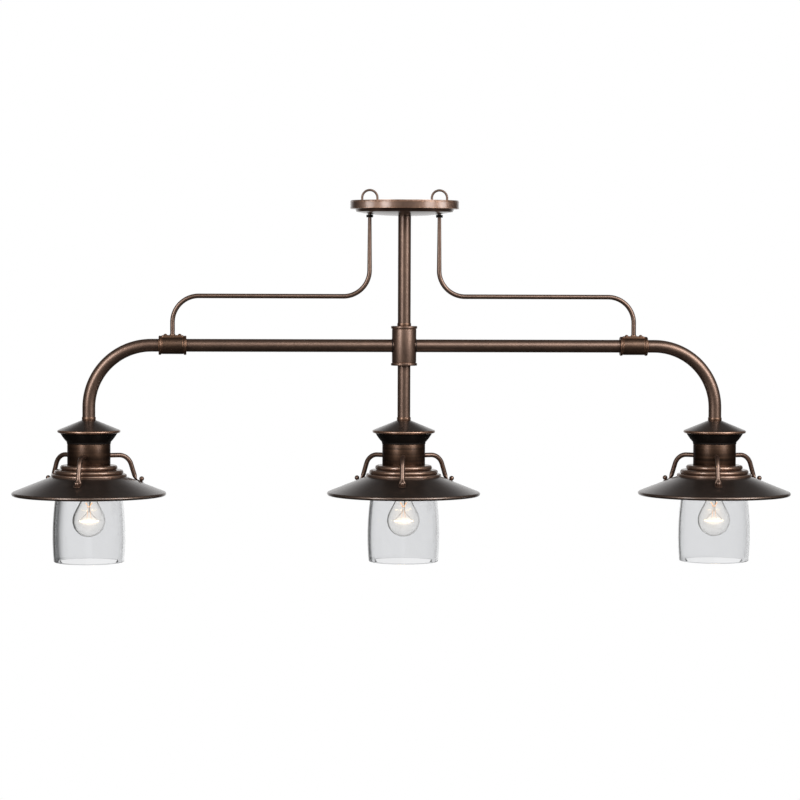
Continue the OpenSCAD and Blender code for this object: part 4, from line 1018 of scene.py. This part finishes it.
    def hooks(self) -> list[Surface]:
        """Three round rods that flatten into feet lying on the shade."""
        path, at, foot = self.hook_path()
        flat = eased((at - foot + self.flat_before) / self.flat_over)
        end = np.clip((at[-1] - at) / 2.0, 0, 1) ** 0.5
        start = np.clip(at / 0.5 + 0.2, 0, 1)
        width = (self.hook_r + (self.foot_half_w - self.hook_r) * flat) * np.maximum(end, 0.7) * start
        height = (self.hook_r + (self.foot_half_t - self.hook_r) * flat) * np.maximum(end, 0.2) * start
        rod = swept(path, width, height)
        return [spun(rod, -90 - self.turn + 120 * k, self.place) for k in range(3)]

    def build(self) -> None:
        """Make and dress the lamp's metal pieces."""
        shade = self.shade()
        # Painted highlight: the stepped rings' wear value is raised so that the worn colour stands in for the light
        # that they catch.
        out = np.linalg.norm(shade.points[..., :2] - self.place[:2], axis=-1)
        shade.wear_and_sheen = np.maximum(shade.wear_and_sheen, self.ring_painted_highlight * (out < self.ring_rs[-1] + self.ring_highlight_reach))
        for kind, made, surfaces, finish, slot in (
                ("cap", "spinning", [self.cap()], SHADE_BRONZE, "dark_bronze"),
                ("flared_ring", "spinning", [self.flared_ring()], BLACK_METAL_AND_SHADE, "black_metal"),
                ("neck", "drum", [self.neck()], NECK_BRONZE, "bronze"),
                ("shade", "spinning", [shade], SHADE_BRONZE, "dark_bronze"),
                ("hooks", "forged", self.hooks(), BRONZE, "bronze")):
            make_piece(f"{self.node(kind)}_{made}", surfaces, self.node(kind), finish)


@dataclass
class GlassCylinder(Hung):
    """A lamp's open glass cylinder, with its retaining ring."""

    radius: float = 66.4
    top: float = -118.0
    height: float = 142.0
    belly: float = 48.0
    bulge_r: float = 500.0
    wall: float = 3.6
    shoulder_r: float = 14.0
    hole_r: float = 21.0

    def radius_at(self, z: np.ndarray) -> np.ndarray:
        """The glass's outer radius: radius - (z - belly's height)^2 / (2 * bulge radius)."""
        return self.radius - (z - self.top + self.height - self.belly) ** 2 / (2 * self.bulge_r)

    def wall_side(self, gap: float) -> np.ndarray:
        """The side from the shoulder to the lip, drawn in by a gap."""
        turn_z = self.top - self.shoulder_r
        edge = float(self.radius_at(np.array(turn_z))) - self.shoulder_r
        z = np.linspace(turn_z, self.top - self.height + self.wall / 2, 25)[1:]
        side = np.stack([self.radius_at(z) - gap, z], axis=-1)
        return np.concatenate([arc((edge, turn_z), self.shoulder_r - gap, 90, 0, 12), side])

    def build(self) -> None:
        """Make and dress the glass, and dress its ring."""
        lip_z = self.top - self.height + self.wall / 2
        lip_r = float(self.radius_at(np.array(lip_z))) - self.wall / 2
        outline = np.concatenate([[(self.hole_r, self.top)], self.wall_side(0.0),
                                  arc((lip_r, lip_z), self.wall / 2, 0, -180, 12)[1:-1],
                                  self.wall_side(self.wall)[::-1], [(self.hole_r, self.top - self.wall)]])
        glass = self.node("glass")
        make_piece(f"{glass}_cylinder", [turned(outline, self.place, segments=192)], glass, CYLINDER_GLASS,
                   glass, 60.0)
        dress(self.node("retaining_ring"), SOCKET_PLASTIC)


@dataclass
class Bulb(Hung):
    """A lamp's clear bulb: its blown glass, the glass stem, the wires and the glowing coil."""

    radius: float = 30.0
    top: float = -104.8
    length: float = 110.0
    neck_r: float = 11.5
    neck_l: float = 28.5
    shoulder: float = 18.0
    pulls: tuple[float, float] = (17.0, 15.0)
    wall: float = 1.0
    coil_half: float = 17.0
    coil_r: float = 0.9
    wire_r: float = 0.28
    fine_r: float = 0.16
    stem_foot: float = 20.0
    coil_z: float = -1.0
    coil_turns: float = 24.0
    coil_sag: float = 0.8
    coil_ripple: float = 0.4
    veil_half: float = 0.1
    core_half: tuple[float, float] = (22.0, 9.0)
    halo_half: tuple[float, float] = (26.0, 30.0)
    halo_rise: float = 6.0
    fork: tuple[float, float, float] = (5.9, 33.0, 25.0)

    @property
    def centre_z(self) -> float:
        """Height of the centre of the bulb's round end."""
        return self.top - self.length + self.radius

    def outline(self, gap: float) -> np.ndarray:
        """The bulb's outline from its neck down to its foot, drawn in by a gap."""
        neck_z = self.top - self.neck_l
        turn = math.radians(self.shoulder)
        d = np.array([0, self.centre_z]) + (self.radius - gap) * np.array([math.cos(turn), math.sin(turn)])
        a = np.array([self.neck_r + 0.9 - gap, neck_z])
        b, c = a - (0, self.pulls[0]), d + self.pulls[1] * np.array([-math.sin(turn), math.cos(turn)])
        t = np.linspace(0, 1, 24)[:, None]
        curve = (1 - t) ** 3 * a + 3 * (1 - t) ** 2 * t * b + 3 * (1 - t) * t ** 2 * c + t ** 3 * d
        round_end = arc((0, self.centre_z), self.radius - gap, self.shoulder, -90, 30)[1:]
        round_end[-1, 0] = 0.0
        return np.concatenate([[(self.neck_r - gap, neck_z + 8)], curve, round_end])

    def glass(self) -> Surface:
        """The blown glass: outside down to the foot, and back up inside."""
        return turned(np.concatenate([self.outline(0.0), self.outline(self.wall)[::-1]]), self.place)

    def stem(self) -> Surface:
        """The glass stem: a flare at the neck, a rod and a pinched button."""
        foot, top = self.centre_z + self.stem_foot, self.top - 24.0
        outline = np.array([(0, foot - 4.0), (1.6, foot - 3.4), (2.4, foot - 1.0), (1.9, foot + 1.5),
                            (2.6, foot + 4), (3.2, foot + 9), (3.6, top - 12), (6.5, top - 4), (9.6, top),
                            (8.6, top + 0.6), (0, top + 0.4)])
        return turned(outline, self.place, segments=48)

    def wire(self, ends: Sequence[Numbers], radius: float) -> Surface:
        """A wire along points in the plane of the coil."""
        flat = np.array(ends, float)
        path = np.stack([flat[:, 0], 0 * flat[:, 0], flat[:, 1]], axis=-1) + self.place
        return swept(path, radius, radius, 8)

    def wires(self) -> list[Surface]:
        """Two lead-in wires to the coil's ends and two fine supports to its middle."""
        foot, coil = self.centre_z + self.stem_foot, self.centre_z + self.coil_z
        pieces = []
        for side in (-1, 1):
            pieces.append(self.wire([(side * 1.3, foot + 8), (side * 1.6, foot - 2), (side * 4.5, foot - 7),
                                     (side * self.coil_half, coil + 0.5)], self.wire_r))
            pieces.append(self.wire([(side * 0.7, foot - 2), (side * self.coil_half / 3, coil + 0.6)],
                                    self.fine_r))
        return pieces

    def forks(self) -> list[Surface]:
        """The forked supports in the stem's button, which glow as a painted glint of the coil's light, and their
        legs.
        """
        wide, high, low = (self.fork[0], self.fork[1] + self.centre_z, self.fork[2] + self.centre_z)
        return [self.wire(ends, radius) for side in (-1, 1) for ends, radius in (
            ([(side * wide, high), (side * 0.5 * wide, (high + low) / 2), (side * 0.6, low)], 2.4 * self.wire_r),
            ([(side * 1.6, low - 1), (side * 2.4, low - 10), (side * 3.4, self.centre_z + 6)], self.wire_r))]

    def coil(self) -> Surface:
        """The coil: a fine helix along X that sags a little, x = half * t, radius * (cos, sin) of its turns."""
        x, _, z = self.place
        t = np.linspace(-1, 1, 480)
        turns = 2 * math.pi * self.coil_turns * t
        sag = self.coil_sag * (t ** 2 - 1) - self.coil_ripple * np.cos(3 * math.pi * t)
        middle = np.stack([x + self.coil_half * t, self.coil_r * np.cos(turns),
                           z + self.centre_z + self.coil_z + sag + self.coil_r * np.sin(turns)], axis=-1)
        return swept(middle, self.fine_r, self.fine_r, 6)

    def veil(self, wide: float, high: float, rise: float = 0.0) -> Surface:
        """A veil of light around the coil: a thin lens across the lamp, deepest in its middle.

        Args:
            wide: Half its width.
            high: Half its height.
            rise: How far its middle lies over the coil.

        Returns:
            The veil, with its depth in place of wear.
        """
        x, _, z = self.place
        t = np.linspace(-1, 1, 39)[:, None]
        reach, face = 1 - np.abs(t), np.where(t > 0, 1, -1)
        a = np.linspace(0, 2 * math.pi, 48, endpoint=False)
        thick = self.veil_half * face * np.sqrt(1 - reach ** 2) + 0 * a
        points = np.stack([x + wide * reach * np.cos(a), thick,
                           z + self.centre_z + self.coil_z + rise + high * reach * np.sin(a)], axis=-1)
        return Surface(points, np.repeat(1 - reach, len(a), axis=1), (False, True))

    def build(self) -> None:
        """Make and dress the bulb."""
        bulb = self.node("bulb")
        make_piece(f"{bulb}_envelope", [self.glass()], self.node("bulb_glass"), BULB_GLASS, bulb, 60.0)
        make_piece(f"{bulb}_stem", [self.stem()], self.node("filament"), STEM_GLASS, bulb)
        core, halo = self.veil(*self.core_half), self.veil(*self.halo_half, self.halo_rise)
        for kind, surfaces, finish, slot in (("wires", self.wires(), LEAD_WIRE, "nickel"),
                                             ("coil", [self.coil()], HOT_COIL, "filament_glass"),
                                             ("fork", self.forks(), PAINTED_GLINT_WIRE, "nickel"),
                                             ("glow", [core], GLOW_CORE, "filament_glass"),
                                             ("halo", [halo], GLOW_HALO, "filament_glass")):
            make_piece(f"{bulb}_{kind}", surfaces, "", finish, bulb)
        dress(self.node("bulb_base"), NICKEL)
        dress(self.node("bulb_contact"), NICKEL)


# Studio


@dataclass
class Studio:
    """The camera at the photograph's place, the soft lamps, the pale background and the floor."""

    camera_at: tuple[float, float, float] = (-0.3376, -5.451, -0.1189)
    yaw: float = 3.469
    pitch: float = 2.5925
    roll: float = 0.2215
    focal_px: float = 2971.9
    frame_px: float = 800.0
    sensor: float = 36.0
    floor_z: float = -1.55
    floor_size: float = 4.0
    fill: float = 0.7
    above: float = 0.08
    below: float = 0.03
    dark_side: float = 0.06
    behind: tuple[float, float] = (0.71, 0.98)
    beside: tuple[float, float] = (-0.08, -0.19)
    spared: bpy.types.Collection = field(init=False)
    edge_lit: bpy.types.Collection = field(init=False)

    def __post_init__(self) -> None:
        """Make the group of pieces that the soft lamps leave out and the one that the edge lamps keep to."""
        self.spared = bpy.data.collections.new("spared_by_soft_lamps")
        self.edge_lit = bpy.data.collections.new("lit_by_edge_lamps")

    def camera(self) -> None:
        """Place the camera: yaw about Z, pitch down from the level, then roll about its own axis."""
        data = bpy.data.cameras.new("camera")
        data.sensor_width = self.sensor
        data.lens = self.focal_px / self.frame_px * self.sensor
        data.clip_end = 50
        camera = bpy.data.objects.new("camera", data)
        turn = (Matrix.Rotation(math.radians(-self.yaw), 4, "Z")
                @ Matrix.Rotation(math.radians(90 - self.pitch), 4, "X")
                @ Matrix.Rotation(math.radians(self.roll), 4, "Z"))
        camera.matrix_world = Matrix.Translation(self.camera_at) @ turn
        show(camera)
        bpy.context.scene.camera = camera

    def softbox(self, name: str, place: Numbers, size: tuple[float, float], watts: float,
                lit: bpy.types.Collection | None = None, aim: Numbers = (0, 0, -0.35)) -> None:
        """Add a rectangular soft lamp that faces the fixture.

        Args:
            name: The lamp's name.
            place: Its centre, in metres.
            size: Its width and its height.
            watts: Its power.
            lit: The only pieces it lights, or None for all but the spared ones.
            aim: The point it faces.
        """
        data = bpy.data.lights.new(name, "AREA")
        data.shape = "RECTANGLE"
        data.size, data.size_y = size
        data.energy = watts
        lamp = bpy.data.objects.new(name, data)
        way = Vector(aim) - Vector(place)
        lamp.matrix_world = Matrix.Translation(place) @ way.to_track_quat("-Z", "Y").to_matrix().to_4x4()
        lamp.light_linking.receiver_collection = lit or self.spared
        show(lamp)

    def share(self, group: bpy.types.Collection, finishes: Sequence[Finish], state: str) -> None:
        """Put the pieces in some finishes into a group that the lamps leave out or keep to.

        Args:
            group: The lamps' receiver collection.
            finishes: The finishes whose pieces go into it.
            state: EXCLUDE keeps the lamps' light off them, INCLUDE keeps it to them.
        """
        names = {finish.name for finish in finishes}
        for piece in [o for o in bpy.data.objects if o.type == "MESH"]:
            if any(slot.material and slot.material.name in names for slot in piece.material_slots):
                group.objects.link(piece)
        for member in group.collection_objects:
            member.light_linking.link_state = state

    def world(self) -> None:
        """A white background for the camera and through glass, which metal shows where it lies behind."""
        nodes = NodeTree(bpy.data.worlds.new("studio"))
        rays = nodes.add("ShaderNodeLightPath").outputs
        way = nodes.add("ShaderNodeTexCoord").outputs["Generated"]
        x, y, z = nodes.add("ShaderNodeSeparateXYZ", Vector=way).outputs
        dim = nodes.ramp(z, -0.15, 0.15, self.below, self.above)
        mirrored = nodes.maths("MAXIMUM", nodes.ramp(y, *self.behind), dim)
        through = nodes.blend(nodes.ramp(x, *self.beside), 1.0, self.dark_side)
        light = nodes.blend(rays["Is Glossy Ray"], self.fill, mirrored)
        light = nodes.blend(rays["Is Transmission Ray"], light, through)
        light = nodes.blend(rays["Is Camera Ray"], light, 1.0)
        shade = nodes.add("ShaderNodeBackground", Color=(1, 1, 1, 1), Strength=light)
        bpy.context.scene.world = nodes.finish(shade, "ShaderNodeOutputWorld")

    def floor(self) -> None:
        """A plain pale floor under the fixture."""
        half = self.floor_size / 2
        mesh = bpy.data.meshes.new("floor")
        corners = [(-half, -half), (half, -half), (half, half), (-half, half)]
        mesh.from_pydata([(x, y, self.floor_z) for x, y in corners], [], [(0, 1, 2, 3)])
        nodes = NodeTree(bpy.data.materials.new("pale_floor"))
        faint = nodes.mix(nodes.spread(nodes.noise(3.0, 4.0), 0.0, 1.0), srgb("e9e9e8"), srgb("eeeeed"))
        mesh.materials.append(nodes.principled(Base_Color=faint, Roughness=0.9))
        floor = bpy.data.objects.new("floor", mesh)
        show(floor)
        floor.visible_glossy = False

    def build(self) -> None:
        """Set up everything that isn't the fixture."""
        bpy.context.scene.view_settings.view_transform = "Standard"
        self.camera()
        self.softbox("left_box", (-2.3, -2.4, 0.8), (1.1, 2.2), 64.0)
        self.softbox("right_box", (2.6, -2.1, 1.0), (1.3, 2.2), 76.0)
        self.softbox("top_front_box", (1.1, -2.9, 1.8), (2.4, 1.6), 52.0)
        self.softbox("left_edge_box", (-2.6, -0.35, 0.1), (0.9, 0.9), 15.0, self.edge_lit)
        self.softbox("right_edge_box", (2.6, -0.35, 0.1), (0.9, 0.9), 18.0, self.edge_lit)
        self.world()
        self.floor()


def main() -> None:
    """Build the fixture and its studio."""
    logging.basicConfig(level=logging.INFO, format="%(message)s")
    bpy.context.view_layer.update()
    studio = Studio()
    studio.build()
    Canopy().build()
    Frame().build()
    for side, turn in ((Side.LEFT, 10.0), (Side.MIDDLE, 5.0), (Side.RIGHT, 5.0)):
        Lamp(side, turn).build()
        GlassCylinder(side).build()
        Bulb(side).build()
    dress("socket_bodies", SOCKET_PLASTIC)
    dress("socket_contacts", BRASS)
    dress("hook_screws", BRONZE)
    studio.share(studio.spared, [CYLINDER_GLASS, BULB_GLASS, STEM_GLASS], "EXCLUDE")
    studio.share(studio.edge_lit, [CANOPY_BRONZE], "INCLUDE")


if __name__ == "__main__":
    main()
